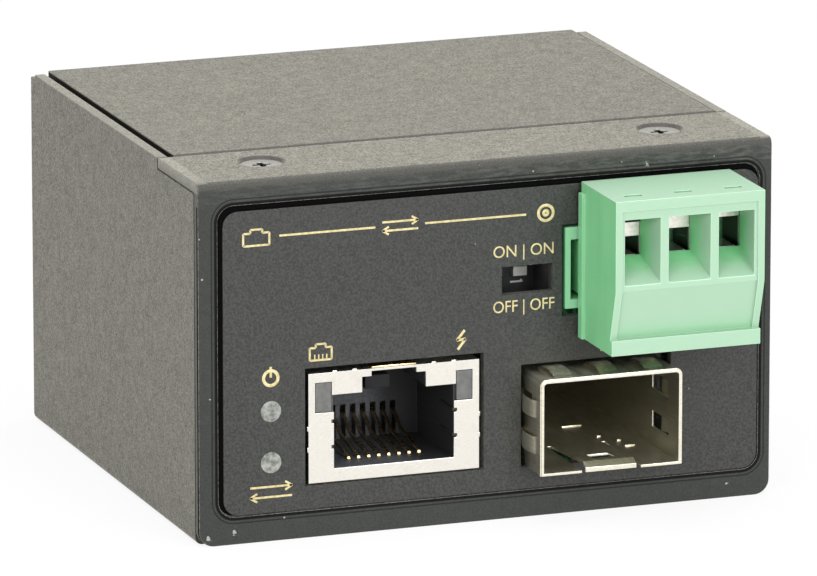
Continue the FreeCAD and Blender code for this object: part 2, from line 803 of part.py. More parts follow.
def top_cover():
    """Cover that lies between the sides, with a lip stepped down under the front flange."""
    body = document.addObject("PartDesign::Body", "top_cover")
    seam = f"{FRONT} + flange_length + fold_gap"
    lip_top = "case_height - sheet - fold_gap"
    left = "-case_width / 2 + sheet + cover_gap_left"
    profile = sketch_in(body, "cover_profile", "YZ_Plane", left)
    polygon(profile, [
        (seam, "case_height"),
        (seam, lip_top),
        (f"{FRONT} + lip_setback", lip_top),
        (f"{FRONT} + lip_setback", f"{lip_top} - sheet"),
        (f"{seam} + sheet", f"{lip_top} - sheet"),
        (f"{seam} + sheet", "case_height - sheet"),
        ("case_depth / 2", "case_height - sheet"),
        ("case_depth / 2", "case_height"),
    ])
    width = "case_width - 2 * sheet - cover_gap_left - cover_gap_right"
    pad(body, "cover_sheet", profile, width)
    jog = edges_at(body.Shape, y=front + S.flange_length + S.fold_gap, z=S.case_height)
    fold(body, "cover_jog", jog, "fold_radius")
    tabs = sketch_in(body, "hook_tab_outline", "XZ_Plane", "-(case_depth / 2 - sheet - fold_gap)")
    for side in SIDES:
        middle = f"{side} * hook_tab_spacing / 2"
        rectangle(
            tabs,
            f"{middle} - hook_tab_width / 2",
            "case_height - sheet - hook_tab_height",
            f"{middle} + hook_tab_width / 2",
            "case_height - sheet / 2",
        )
    pad(body, "hook_tabs", tabs, "sheet")
    collars = sketch_in(body, "collar_outline", "XZ_Plane", "-(case_depth / 2 - 2 * sheet - fold_gap)")
    for side in SIDES:
        circle(collars, f"{side} * hook_tab_spacing / 2", "rear_screw_height", "nut_shank_radius")
    pad(body, "thread_collars", collars, "sheet")
    threads = sketch_in(body, "thread_outline", "XZ_Plane", "-(case_depth / 2 - sheet - fold_gap)")
    for side in SIDES:
        circle(threads, f"{side} * hook_tab_spacing / 2", "rear_screw_height", "screw_radius + screw_clearance")
    pocket(body, "rear_threads", threads, "3 * sheet", reverse=True)
    holes = sketch_in(body, "lip_hole_outline", "XY_Plane", lip_top)
    for side in SIDES:
        circle(holes, f"{side} * cover_screw_spacing / 2", f"{FRONT} + cover_screw_depth", "nut_shank_radius")
    pocket(body, "lip_holes", holes, "1.5 * sheet")
    node(body)


def front_label():
    """Printed film that lies in the front panel's recess."""
    body = document.addObject("PartDesign::Body", "front_label")
    outline = sketch_in(body, "label_outline", "XZ_Plane", "case_depth / 2")
    rectangle(
        outline,
        "-recess_left + label_gap_left",
        "recess_low + label_gap_low",
        "recess_right - label_gap_right",
        "recess_high - label_gap_high",
    )
    pad(body, "label_film", outline, "label_thickness", reverse=True)
    corners = []
    for x in (-S.recess_left + S.label_gap_left, S.recess_right - S.label_gap_right):
        for z in (S.recess_low + S.label_gap_low, S.recess_high - S.label_gap_high):
            corners += edges_at(body.Shape, x=x, z=z)
    fold(body, "label_corners", corners, "recess_radius - label_gap_right")
    cut_openings(body, "label_openings")
    node(body)


# --- Fasteners ----------------------------------------------------------------------------------------


def sunk_screw(name, axis, sign, x, y, z):
    """Cross-recessed countersunk screw whose surface level is at x, y, z and whose tip lies along sign * axis."""
    head = "(head_radius - screw_radius)"
    along = {"x": x, "y": y, "z": z}

    def at(depth, length):
        """Start of a stretch that reaches from one depth to another, whichever way the screw points."""
        low = f"({along[axis]}) + {depth}" if sign > 0 else f"({along[axis]}) - ({depth}) - ({length})"
        return [low if key == axis else along[key] for key in "xyz"]

    radii = ("head_radius", "screw_radius") if sign > 0 else ("screw_radius", "head_radius")
    cap = cone(f"{name}_head", axis, radii[0], radii[1], at("head_sink", head), head)
    below = at(f"(head_sink + {head})", "screw_length")
    shank = cylinder(f"{name}_shank", axis, "screw_radius", below, "screw_length")
    blank = fuse(f"{name}_blank", [cap, shank])
    slots = []
    for index, other in enumerate(key for key in "xyz" if key != axis):
        spans = {key: centred(along[key], "drive_width") for key in "xyz"}
        spans[other] = centred(along[other], "drive_length")
        spans[axis] = (at("head_sink", "drive_depth")["xyz".index(axis)], "drive_depth")
        slots.append(box(f"{name}_drive_{index}", spans["x"], spans["y"], spans["z"]))
    return cut(name, blank, slots)


def cover_screws():
    """Two screws through the flange and two through the back."""
    flange = []
    rear = []
    for side, word in zip(SIDES, ("left", "right")):
        x = f"{side} * cover_screw_spacing / 2"
        y = f"{FRONT} + cover_screw_depth"
        flange.append(sunk_screw(f"flange_screw_{word}", "z", -1, x, y, "case_height"))
        x = f"{side} * hook_tab_spacing / 2"
        rear.append(sunk_screw(f"rear_screw_{word}", "y", -1, x, "case_depth / 2", "rear_screw_height"))
    node(group("flange_screws", flange))
    node(group("rear_screws", rear))


def press_nut(name, axis, x, y, z, flange, shank, bore):
    """Clinched nut: its shank fills a hole of one sheet and its flange lies on the inner side, along -axis."""
    along = {"x": x, "y": y, "z": z}

    def at(back):
        """The nut's centre line, moved back along its axis."""
        return [f"({along[key]}) - ({back})" if key == axis else along[key] for key in "xyz"]

    neck = cylinder(f"{name}_neck", axis, shank, at("sheet"), "sheet")
    ring = cylinder(f"{name}_ring", axis, flange, at("sheet + nut_height"), "nut_height")
    hole = cylinder(f"{name}_bore", axis, bore, at("sheet + nut_height"), "sheet + nut_height")
    return cut(name, fuse(f"{name}_blank", [neck, ring]), [hole])


def press_nuts():
    """Nuts under the cover's lip and nuts in the back for a rail clip."""
    lip = []
    clip = []
    for side, word in zip(SIDES, ("left", "right")):
        lip.append(press_nut(
            f"lip_nut_{word}", "z",
            f"{side} * cover_screw_spacing / 2", f"{FRONT} + cover_screw_depth", "case_height - sheet - fold_gap",
            "nut_radius", "nut_shank_radius", "screw_radius + screw_clearance",
        ))
        clip.append(press_nut(
            f"clip_nut_{word}", "y",
            f"{side} * clip_hole_spacing / 2", "case_depth / 2", "clip_hole_height",
            "clip_nut_radius", "clip_nut_shank_radius", "clip_thread_radius",
        ))
    node(group("lip_nuts", lip))
    node(group("clip_nuts", clip))


def corner_posts():
    """X and Y of the four board posts."""
    places = []
    for side, word in zip(SIDES, ("left", "right")):
        for depth in ("front", "rear"):
            y = f"{FRONT} + standoff_{depth}_depth"
            places.append((f"{depth}_{word}", f"{side} * standoff_spacing / 2", y))
    return places


def board_posts():
    """Clinched standoffs, threaded spacers between the boards and the screws that hold the stack."""
    standoffs = []
    spacers = []
    screws = []
    bore = "screw_radius + screw_clearance"
    for word, x, y in corner_posts():
        name = f"standoff_{word}"
        neck = cylinder(f"{name}_neck", "z", "nut_shank_radius", (x, y, "0"), "sheet")
        post = cylinder(f"{name}_post", "z", "standoff_radius", (x, y, "sheet"), "standoff_height")
        hole = cylinder(f"{name}_bore", "z", bore, (x, y, "0"), "sheet + standoff_height")
        standoffs.append(cut(name, fuse(f"{name}_blank", [neck, post]), [hole]))
        name = f"spacer_{word}"
        stud_length = f"({BOARD_TOP} - sheet / 2)"
        stud = cylinder(f"{name}_stud", "z", "screw_radius", (x, y, "sheet / 2"), stud_length)
        post = cylinder(f"{name}_post", "z", "standoff_radius", (x, y, BOARD_TOP), "spacer_height")
        hole = cylinder(f"{name}_bore", "z", bore, (x, y, f"{POWER_LOW} - 2 * screw_length"), "2 * screw_length")
        spacers.append(cut(name, fuse(f"{name}_blank", [stud, post]), [hole]))
        name = f"board_screw_{word}"
        shank = cylinder(
            f"{name}_shank", "z", "screw_radius",
            (x, y, f"{POWER_TOP} - screw_length - board_thickness"), "screw_length + board_thickness",
        )
        head = cylinder(f"{name}_head", "z", "pan_head_radius", (x, y, POWER_TOP), "pan_head_height")
        slots = []
        for index, (across, along) in enumerate((("drive_length", "drive_width"), ("drive_width", "drive_length"))):
            top = f"{POWER_TOP} + pan_head_height - drive_depth"
            slots.append(box(f"{name}_drive_{index}", centred(x, across), centred(y, along), (top, "drive_depth")))
        screws.append(cut(name, fuse(f"{name}_blank", [shank, head]), slots))
    node(group("standoffs", standoffs))
    node(group("board_spacers", spacers))
    node(group("board_screws", screws))


# --- Network jack -------------------------------------------------------------------------------------


def mirrored(middle, right):
    """A closed outline symmetrical about a middle X, from the points of its right half, bottom to top."""
    points = [(f"{middle} + {across}", up) for across, up in right]
    return points + [(f"{middle} - ({across})", up) for across, up in reversed(right)]


PORT_LOW = f"({JACK_LOW} + port_low)"
PORT_HIGH = f"({PORT_LOW} + port_height)"
JACK_HIGH = f"({JACK_LOW} + jack_height)"
LATCH_HIGH = f"({PORT_HIGH} + latch_height)"
WINDOW_HIGH = f"({JACK_HIGH} - lamp_window_high)"
WINDOW_LOW = f"({WINDOW_HIGH} - lamp_window_height)"
WINDOW_IN = "(port_width / 2 + lamp_window_wall)"
LEG_END = f"({BOARD_TOP} - leg_length)"


def rj45_shield():
    """Folded shield round the jack, open below, with the port, the latch slot and two lamp windows."""
    body = document.addObject("PartDesign::Body", "rj45_shield")
    outline = sketch_in(body, "shield_outline", "XZ_Plane", "case_depth / 2 - jack_setback")
    rectangle(outline, "jack_x - jack_width / 2", JACK_LOW, "jack_x + jack_width / 2", JACK_HIGH)
    pad(body, "shield_block", outline, "jack_length", reverse=True)
    inside = sketch_in(body, "shield_inside", "XZ_Plane", "case_depth / 2 - jack_setback - shield_sheet")
    half = "(jack_width / 2 - shield_sheet)"
    rectangle(inside, f"jack_x - {half}", f"{JACK_LOW} - sheet", f"jack_x + {half}", f"{JACK_HIGH} - shield_sheet")
    pocket(body, "shield_hollow", inside, "jack_length - 2 * shield_sheet")
    half = "port_width / 2"
    right = [(half, PORT_LOW)]
    for index in range(2):
        low = f"{PORT_LOW} + notch_low + {index} * notch_pitch"
        right += [(half, low), (f"{half} + notch_width", low)]
        right += [(f"{half} + notch_width", f"{low} + notch_height"), (half, f"{low} + notch_height")]
    right += [
        (half, WINDOW_LOW),
        (f"{WINDOW_IN} + lamp_window_width", WINDOW_LOW),
        (f"{WINDOW_IN} + lamp_window_width", WINDOW_HIGH),
        (WINDOW_IN, WINDOW_HIGH),
        (WINDOW_IN, PORT_HIGH),
        ("latch_width / 2", PORT_HIGH),
        ("latch_width / 2", LATCH_HIGH),
        ("latch_slot_width / 2", LATCH_HIGH),
        ("latch_slot_width / 2", f"{JACK_HIGH} - shield_sheet"),
    ]
    mouth = sketch_in(body, "shield_mouth", "XZ_Plane", "case_depth / 2 - jack_setback")
    polygon(mouth, mirrored("jack_x", right))
    pocket(body, "shield_opening", mouth, "2 * shield_sheet")
    for side, word in zip(SIDES, ("left", "right")):
        edge = f"jack_x + {side} * jack_width / 2"
        middle = f"({FRONT} + jack_leg_depth)"
        leg = sketch_in(body, f"shield_leg_{word}", "YZ_Plane", edge)
        rectangle(leg, f"{middle} - leg_width / 2", LEG_END, f"{middle} + leg_width / 2", f"{JACK_LOW} + sheet")
        pad(body, f"shield_leg_{word}_sheet", leg, "shield_sheet", reverse=side > 0)
        main_drills.append((f"{edge} - {side} * shield_sheet / 2", middle, "leg_width / 2 + lead_gap"))
    node(body)


def contact_slots(body):
    """Grooves, floor slots and comb slots for the eight contacts of the jack."""
    start = "(wire_tip_depth - 2 * wire_gap)"
    comb_front = "(jack_setback + port_length - 2 * wire_gap)"
    comb_rear = "(wire_tip_depth + wire_run + 4 * wire_gap)"
    rear = "(wire_pin_depth + wire_thickness + 2 * wire_gap)"
    groove_top = f"({BOARD_TOP} + wire_lift + wire_thickness + 2 * wire_gap)"
    front_rear = "(wire_tip_depth + wire_thickness + 2 * wire_gap)"
    comb_top = f"({PORT_LOW} + wire_tip_height + wire_rise + 4 * wire_gap)"
    low = f"{BOARD_TOP} - sheet"
    path = [
        (start, low),
        (rear, low),
        (rear, groove_top),
        (comb_rear, groove_top),
        (comb_rear, comb_top),
        (comb_front, comb_top),
        (comb_front, groove_top),
        (front_rear, groove_top),
        (front_rear, f"{PORT_LOW} + sheet"),
        (start, f"{PORT_LOW} + sheet"),
    ]
    first = "jack_x - 3.5 * jack_pitch - wire_width / 2 - wire_gap"
    sketch = sketch_in(body, "slot_profile", "YZ_Plane", first)
    polygon(sketch, [(f"{FRONT} + {depth}", up) for depth, up in path])
    slot = pocket(body, "contact_slot", sketch, "wire_width + 2 * wire_gap", reverse=True)
    row(body, "contact_slots", slot, "jack_pitch", 8)


def row(body, name, feature, pitch, count):
    """A feature repeated along +X."""
    pattern = body.newObject("PartDesign::LinearPattern", name)
    pattern.Originals = [feature]
    axis = next(line for line in body.Origin.OriginFeatures if line.Role == "X_Axis")
    pattern.Direction = (axis, [""])
    pattern.Mode = "Spacing"
    pattern.setExpression("Offset", bound(pitch))
    pattern.Occurrences = count
    body.Tip = pattern
    document.recompute()
    return pattern


def rj45_housing():
    """Moulded insert of the jack: port with its latch channel, lamp channels, contact slots and board pegs."""
    body = document.addObject("PartDesign::Body", "rj45_housing")
    start = "case_depth / 2 - jack_setback - shield_sheet"
    half = "(jack_width / 2 - shield_sheet)"
    outline = sketch_in(body, "housing_outline", "XZ_Plane", start)
    rectangle(outline, f"jack_x - {half}", JACK_LOW, f"jack_x + {half}", f"{JACK_HIGH} - shield_sheet")
    pad(body, "housing_block", outline, "jack_length - 2 * shield_sheet", reverse=True)
    port = sketch_in(body, "port_outline", "XZ_Plane", start)
    polygon(port, mirrored("jack_x", [
        ("port_width / 2", PORT_LOW),
        ("port_width / 2", PORT_HIGH),
        ("latch_width / 2", PORT_HIGH),
        ("latch_width / 2", LATCH_HIGH),
        ("latch_slot_width / 2", LATCH_HIGH),
        ("latch_slot_width / 2", f"{JACK_HIGH} + sheet"),
    ]))
    pocket(body, "port", port, "port_length - shield_sheet")
    room = sketch_in(body, "latch_room_outline", "XZ_Plane", "case_depth / 2 - latch_room_depth")
    half = "latch_room_width / 2"
    rectangle(room, f"jack_x - {half}", PORT_HIGH, f"jack_x + {half}", LATCH_HIGH)
    pocket(body, "latch_room", room, "latch_room_length")
    lamps = sketch_in(body, "channel_outline", "XZ_Plane", start)
    for side in SIDES:
        inner = f"jack_x + {side} * {WINDOW_IN}"
        rectangle(lamps, inner, WINDOW_LOW, f"{inner} + {side} * lamp_window_width", WINDOW_HIGH)
    pocket(body, "lamp_channels", lamps, "jack_lamp_length - shield_sheet + seat_gap")
    contact_slots(body)
    pegs = sketch_in(body, "peg_outline", "XY_Plane", JACK_LOW)
    feet = sketch_in(body, "foot_outline", "XY_Plane", JACK_LOW)
    for side in SIDES:
        x = f"jack_x + {side} * jack_peg_spacing / 2"
        circle(pegs, x, f"{FRONT} + jack_peg_depth", "jack_peg_radius")
        circle(feet, x, f"{FRONT} + jack_peg_depth", "jack_peg_radius + jack_peg_shoulder")
        main_drills.append((x, f"{FRONT} + jack_peg_depth", "jack_peg_radius + seat_gap"))
    pad(body, "board_feet", feet, "jack_lift", reverse=True)
    pad(body, "board_pegs", pegs, "jack_lift + board_thickness", reverse=True)
    node(body)


def rj45_contacts():
    """Eight spring contacts, each bent from one wire: board pin, run under the floor, sprung upper run."""
    body = document.addObject("PartDesign::Body", "rj45_contacts")
    body.AllowCompound = True
    pin = "wire_pin_depth"
    base = f"({BOARD_TOP} + wire_lift)"
    tip = f"({PORT_LOW} + wire_tip_height)"
    path = [
        (pin, LEG_END),
        (f"{pin} + wire_thickness", LEG_END),
        (f"{pin} + wire_thickness", f"{base} + wire_thickness"),
        ("wire_tip_depth + wire_thickness", f"{base} + wire_thickness"),
        ("wire_tip_depth + wire_thickness", f"{tip} + wire_thickness * (wire_knee_rise / wire_knee_run - 1)"),
        ("wire_tip_depth + wire_knee_run", f"{tip} + wire_knee_rise - wire_thickness"),
        ("wire_tip_depth + wire_run", f"{tip} + wire_rise - wire_thickness"),
        ("wire_tip_depth + wire_run", f"{tip} + wire_rise"),
        ("wire_tip_depth + wire_knee_run", f"{tip} + wire_knee_rise"),
        ("wire_tip_depth", tip),
        ("wire_tip_depth", base),
        (pin, base),
    ]
    sketch = sketch_in(body, "contact_profile", "YZ_Plane", "jack_x - 3.5 * jack_pitch - wire_width / 2")
    polygon(sketch, [(f"{FRONT} + {depth}", up) for depth, up in path])
    first = pad(body, "contact", sketch, "wire_width")
    row(body, "contact_row", first, "jack_pitch", 8)
    for index in range(8):
        x = f"jack_x + ({index} - 3.5) * jack_pitch"
        main_drills.append((x, f"{FRONT} + {pin} + wire_thickness / 2", "wire_width / 2 + lead_gap"))
    node(body)


def rj45_light_pipes():
    """Clear bars that carry the jack's two lamps to the front."""
    for side, word in zip(SIDES, ("left", "right")):
        middle = f"jack_x + {side} * ({WINDOW_IN} + lamp_window_width / 2)"
        node(box(
            f"rj45_light_pipe_{word}",
            centred(middle, "(lamp_window_width - 2 * seat_gap)"),
            (JACK_FRONT, "jack_lamp_length"),
            (f"{WINDOW_LOW} + seat_gap", "lamp_window_height - 2 * seat_gap"),
        ))


# --- Optical module cage ------------------------------------------------------------------------------

CAGE_HIGH = f"({BOARD_TOP} + cage_height)"


def sfp_cage():
    """Folded cage: a long box open at the front, with the latch tab below and board pins along its sides."""
    body = document.addObject("PartDesign::Body", "sfp_cage")
    outline = sketch_in(body, "cage_outline", "XZ_Plane", "case_depth / 2 + cage_reach")
    rectangle(outline, "cage_x - cage_width / 2", BOARD_TOP, "cage_x + cage_width / 2", CAGE_HIGH)
    pad(body, "cage_block", outline, "cage_length", reverse=True)
    corners = []
    for side in SIDES:
        corners += edges_at(body.Shape, x=S.cage_x + side * S.cage_width / 2, z=board_top + S.cage_height)
    fold(body, "cage_folds", corners, "cage_corner_radius")
    inside = sketch_in(body, "cage_inside", "XZ_Plane", "case_depth / 2 + cage_reach")
    half = "(cage_width / 2 - cage_sheet)"
    rectangle(
        inside, f"cage_x - {half}", f"{BOARD_TOP} + cage_sheet", f"cage_x + {half}", f"{CAGE_HIGH} - cage_sheet",
    )
    pocket(body, "cage_hollow", inside, "cage_length - cage_sheet")
    corners = []
    for side in SIDES:
        x = S.cage_x + side * (S.cage_width / 2 - S.cage_sheet)
        corners += edges_at(body.Shape, x=x, z=board_top + S.cage_height - S.cage_sheet)
    fold(body, "cage_inner_folds", corners, "cage_corner_radius - cage_sheet")
    latch_tab(body)
    windows = sketch_in(body, "cage_window_outline", "YZ_Plane")
    for index in range(2):
        low = f"{BOARD_TOP} + cage_window_low + {index} * cage_window_pitch"
        start = f"{CAGE_FRONT} + cage_window_start"
        rectangle(windows, start, low, f"{start} + cage_window_length", f"{low} + cage_window_height")
    pocket(body, "cage_windows", windows, midplane=True)
    floor = sketch_in(body, "cage_floor_outline", "XY_Plane", BOARD_TOP)
    half = "(host_width / 2 + host_gap)"
    rear = f"{CAGE_FRONT} + cage_length - cage_sheet"
    start = f"{FRONT} + host_depth - host_pin_length - host_gap"
    rectangle(floor, f"cage_x - {half}", start, f"cage_x + {half}", rear)
    pocket(body, "cage_floor_opening", floor, "cage_sheet", reverse=True)
    for side, word in zip(SIDES, ("left", "right")):
        edge = f"cage_x + {side} * cage_width / 2"
        legs = sketch_in(body, f"cage_leg_outline_{word}", "YZ_Plane", edge)
        for index in range(4):
            middle = f"({CAGE_FRONT} + cage_leg_start + {index} * cage_leg_pitch)"
            low, high = f"{middle} - leg_width / 2", f"{middle} + leg_width / 2"
            rectangle(legs, low, LEG_END, high, f"{BOARD_TOP} + cage_sheet")
            main_drills.append((f"{edge} - {side} * cage_sheet / 2", middle, "leg_width / 2 + lead_gap"))
        pad(body, f"cage_legs_{word}", legs, "cage_sheet", reverse=side > 0)
    node(body)


def latch_tab(body):
    """Sprung tab cut from the cage's floor, with its front end rolled up."""
    slot = sketch_in(body, "tab_slot_outline", "XY_Plane", BOARD_TOP)
    half = "(tab_width / 2 + tab_slit)"
    rectangle(slot, f"cage_x - {half}", f"{CAGE_FRONT} - sheet", f"cage_x + {half}", f"{CAGE_FRONT} + tab_length")
    pocket(body, "tab_slot", slot, "cage_sheet", reverse=True)
    path = [
        ("cage_sheet / 2", "0"),
        ("cage_sheet * 1.5", "0"),
        ("cage_sheet * 1.5", "tab_rise / 2 - cage_sheet / 2"),
        ("tab_rise", "tab_rise - cage_sheet"),
        ("tab_length", "0"),
        ("tab_length", "cage_sheet"),
        ("tab_rise", "tab_rise"),
        ("cage_sheet / 2", "tab_rise / 2"),
    ]
    profile = sketch_in(body, "tab_profile", "YZ_Plane", "cage_x")
    polygon(profile, [(f"{CAGE_FRONT} + {along}", f"{BOARD_TOP} + {up}") for along, up in path])
    pad(body, "tab", profile, "tab_width", midplane=True)
    eye = sketch_in(body, "tab_eye_outline", "XY_Plane", BOARD_TOP)
    start = f"{CAGE_FRONT} + tab_eye_start"
    rectangle(eye, "cage_x - tab_eye_width / 2", start, "cage_x + tab_eye_width / 2", f"{start} + tab_eye_length")
    pocket(body, "tab_eye", eye, "tab_rise + cage_sheet", reverse=True)


def bowed_finger(name, start, outward, across, width):
    """Thin strip along +Y whose middle is bowed outward, at a start point, spread evenly across."""

    def arc(lift):
        """One long side of the strip, lifted off the surface that it starts from."""
        first = start + outward * lift
        last = first + FreeCAD.Vector(0, S.finger_length, 0)
        middle = (first + last) * 0.5 + outward * S.finger_bow
        return first, last, Part.Arc(first, middle, last).toShape()

    low_first, low_last, low = arc(0)
    high_first, high_last, high = arc(S.finger_thickness)
    ends = [Part.makeLine(low_last, high_last), Part.makeLine(high_first, low_first)]
    profile = Part.Face(Part.Wire(Part.__sortEdges__([low, high] + ends)))
    profile.translate(across * (-width / 2))
    return shaped(name, profile.extrude(across * width))


def sfp_spring_collar():
    """Thin collar round the cage's top and sides, with fingers that reach back to the case's opening."""
    body = document.addObject("PartDesign::Body", "collar_band_body")
    half = "(cage_width / 2 + finger_thickness)"
    start = "case_depth / 2 + cage_reach - collar_setback"
    outline = sketch_in(body, "band_outline", "XZ_Plane", start)
    rectangle(outline, f"cage_x - {half}", BOARD_TOP, f"cage_x + {half}", f"{CAGE_HIGH} + finger_thickness")
    pad(body, "band_block", outline, "collar_band", reverse=True)
    corners = []
    top = board_top + S.cage_height
    for side in SIDES:
        x = S.cage_x + side * (S.cage_width / 2 + S.finger_thickness)
        corners += edges_at(body.Shape, x=x, z=top + S.finger_thickness)
    fold(body, "band_folds", corners, "cage_corner_radius + finger_thickness")
    band_start = front - S.cage_reach + S.collar_setback
    y = band_start + S.collar_band
    hollow(body, "band_sheet", (("z", board_top), ("y", band_start), ("y", y)), "finger_thickness")
    right, up = FreeCAD.Vector(1, 0, 0), FreeCAD.Vector(0, 0, 1)
    pieces = [body]
    for index in (-1, 0, 1):
        place_at = FreeCAD.Vector(S.cage_x + index * S.finger_spacing_top, y, top)
        pieces.append(bowed_finger(f"top_finger_{index + 2}", place_at, up, right, S.finger_width))
    for side, word in zip(SIDES, ("left", "right")):
        for index in (-1, 1):
            z = board_top + S.finger_middle_side + index * S.finger_spacing_side / 2
            place_at = FreeCAD.Vector(S.cage_x + side * S.cage_width / 2, y, z)
            name = f"{word}_finger_{(index + 3) // 2}"
            pieces.append(bowed_finger(name, place_at, right * side, up, S.finger_width_side))
    node(fuse("sfp_spring_collar", pieces))


def sfp_connector():
    """Edge connector on the board at the back of the cage, with its two rows of soldered feet."""
    block = box(
        "host_block", centred("cage_x", "host_width"), (f"{FRONT} + host_depth", "host_length"),
        (BOARD_TOP, "host_height"),
    )
    slot = box(
        "host_slot", centred("cage_x", "host_slot_width"), (f"{FRONT} + host_depth", "host_slot_length"),
        centred(f"{BOARD_TOP} + host_height / 2", "host_slot_height"),
    )
    node(cut("sfp_connector", block, [slot]))
    feet = []
    starts = (f"{FRONT} + host_depth - host_pin_length", f"{FRONT} + host_depth + host_length")
    for line, start in enumerate(starts):
        for index in range(10):
            middle = f"cage_x + ({index} - 4.5) * host_pin_pitch"
            feet.append(box(
                f"host_foot_{line}_{index}", centred(middle, "host_pin_width"), (start, "host_pin_length"),
                (BOARD_TOP, "host_pin_thickness"),
            ))
    node(group("sfp_connector_pins", feet))


# --- Status lamps -------------------------------------------------------------------------------------


def status_lamps():
    """Two lamps one above the other in a black holder, each with a pair of leads bent down to the board."""
    back = f"{FRONT} + sheet + fold_gap"
    block = box(
        "lamp_holder_block", centred("lamp_x", "lamp_holder_width"), (back, "lamp_holder_length"),
        (BOARD_TOP, f"lamp_low + lamp_pitch + lamp_holder_margin - {BOARD_TOP}"),
    )
    bores = []
    leads = []
    for index, name in enumerate(("link_lamp", "power_lamp")):
        z = f"(lamp_low + {index} * lamp_pitch)"
        bores.append(cylinder(
            f"{name}_bore", "y", "lamp_body_radius + seat_gap", ("lamp_x", back, z), "lamp_holder_length",
        ))
        nose_start = f"{FRONT} + lamp_setback"
        nose = cylinder(
            f"{name}_nose", "y", "lamp_radius", ("lamp_x", nose_start, z), "sheet + 2 * fold_gap - lamp_setback",
        )
        bulb_start = f"{FRONT} + sheet + 2 * fold_gap"
        bulb = cylinder(f"{name}_bulb", "y", "lamp_body_radius", ("lamp_x", bulb_start, z), "lamp_body_length")
        node(fuse(name, [nose, bulb]))
        drop = f"(lead_drop_depth + {index} * lead_drop_step)"
        lead_start = "(sheet + 2 * fold_gap + lamp_body_length)"
        for side, word in zip(SIDES, ("left", "right")):
            x = f"lamp_x + {side} * lead_offset"
            run = box(
                f"{name}_lead_run_{word}", centred(x, "lead_size"),
                (f"{FRONT} + {lead_start}", f"{drop} - {lead_start} + lead_size"), centred(z, "lead_size"),
            )
            fall = box(
                f"{name}_lead_drop_{word}", centred(x, "lead_size"), (f"{FRONT} + {drop}", "lead_size"),
                (LEG_END, f"{z} + lead_size / 2 - {LEG_END}"),
            )
            leads.append(fuse(f"{name}_lead_{word}", [run, fall]))
            main_drills.append((x, f"{FRONT} + {drop} + lead_size / 2", "lead_size * 0.71 + lead_gap"))
    node(cut("lamp_holder", block, bores))
    node(group("lamp_leads", leads))


# --- Option switch ------------------------------------------------------------------------------------


def option_switch():
    """Two-way slide switch that faces the window: body, two sliders and four board pins."""
    face = f"{FRONT} + switch_depth"
    middle_z = "switch_z"
    block = box(
        "switch_block", centred("switch_x", "switch_width"), (face, "switch_length"), (POWER_TOP, "switch_height"),
    )
    slots = []
    pins = []
    reach = "(switch_depth - sheet - switch_cheek_gap)"
    cheeks = [
        box(
            f"switch_cheek_{index}",
            centred(f"(switch_x + {side} * (switch_width - switch_cheek) / 2)", "switch_cheek"),
            (f"{face} - {reach}", f"{reach} + switch_wall"), (POWER_TOP, "switch_height"),
        )
        for index, side in enumerate(SIDES, start=1)
    ]
    for index, side in enumerate(SIDES, start=1):
        x = f"(switch_x + {side} * switch_pitch / 2)"
        slot_height = "(knob_height + knob_travel + 2 * knob_gap)"
        slots.append(box(
            f"knob_slot_{index}", centred(x, "(knob_width + 2 * knob_gap)"), (face, "switch_wall"),
            centred(middle_z, slot_height),
        ))
        slots.append(box(
            f"foot_cavity_{index}", centred(x, "(knob_width + 2 * foot_margin + 2 * knob_gap)"),
            (f"{face} + switch_wall", "foot_length + 2 * knob_gap"),
            centred(middle_z, f"({slot_height} + 2 * foot_margin)"),
        ))
        low = f"(switch_z - knob_travel / 2)"
        knob = box(
            f"knob_{index}", centred(x, "knob_width"),
            (f"{face} - knob_reach", "knob_reach + switch_wall + knob_gap"), centred(low, "knob_height"),
        )
        foot = box(
            f"knob_foot_{index}", centred(x, "(knob_width + 2 * foot_margin)"),
            (f"{face} + switch_wall + knob_gap", "foot_length"), centred(low, "(knob_height + 2 * foot_margin)"),
        )
        node(fuse(f"dip_slider_{index}", [knob, foot]))
        for inset in ("switch_pin_inset", "(switch_length - switch_pin_inset)"):
            y = f"({face} + {inset})"
            pins.append(box(
                f"switch_pin_{len(pins)}", centred(x, "switch_pin_width"), centred(y, "switch_pin_width"),
                (f"{POWER_TOP} - leg_length", "leg_length"),
            ))
            power_drills.append((x, y, "switch_pin_width * 0.71 + lead_gap"))
    node(cut("dip_body", fuse("switch_moulding", [block, *cheeks]), slots))
    node(group("dip_pins", pins))


# --- Terminal block -----------------------------------------------------------------------------------

POLES = (-1, 0, 1)


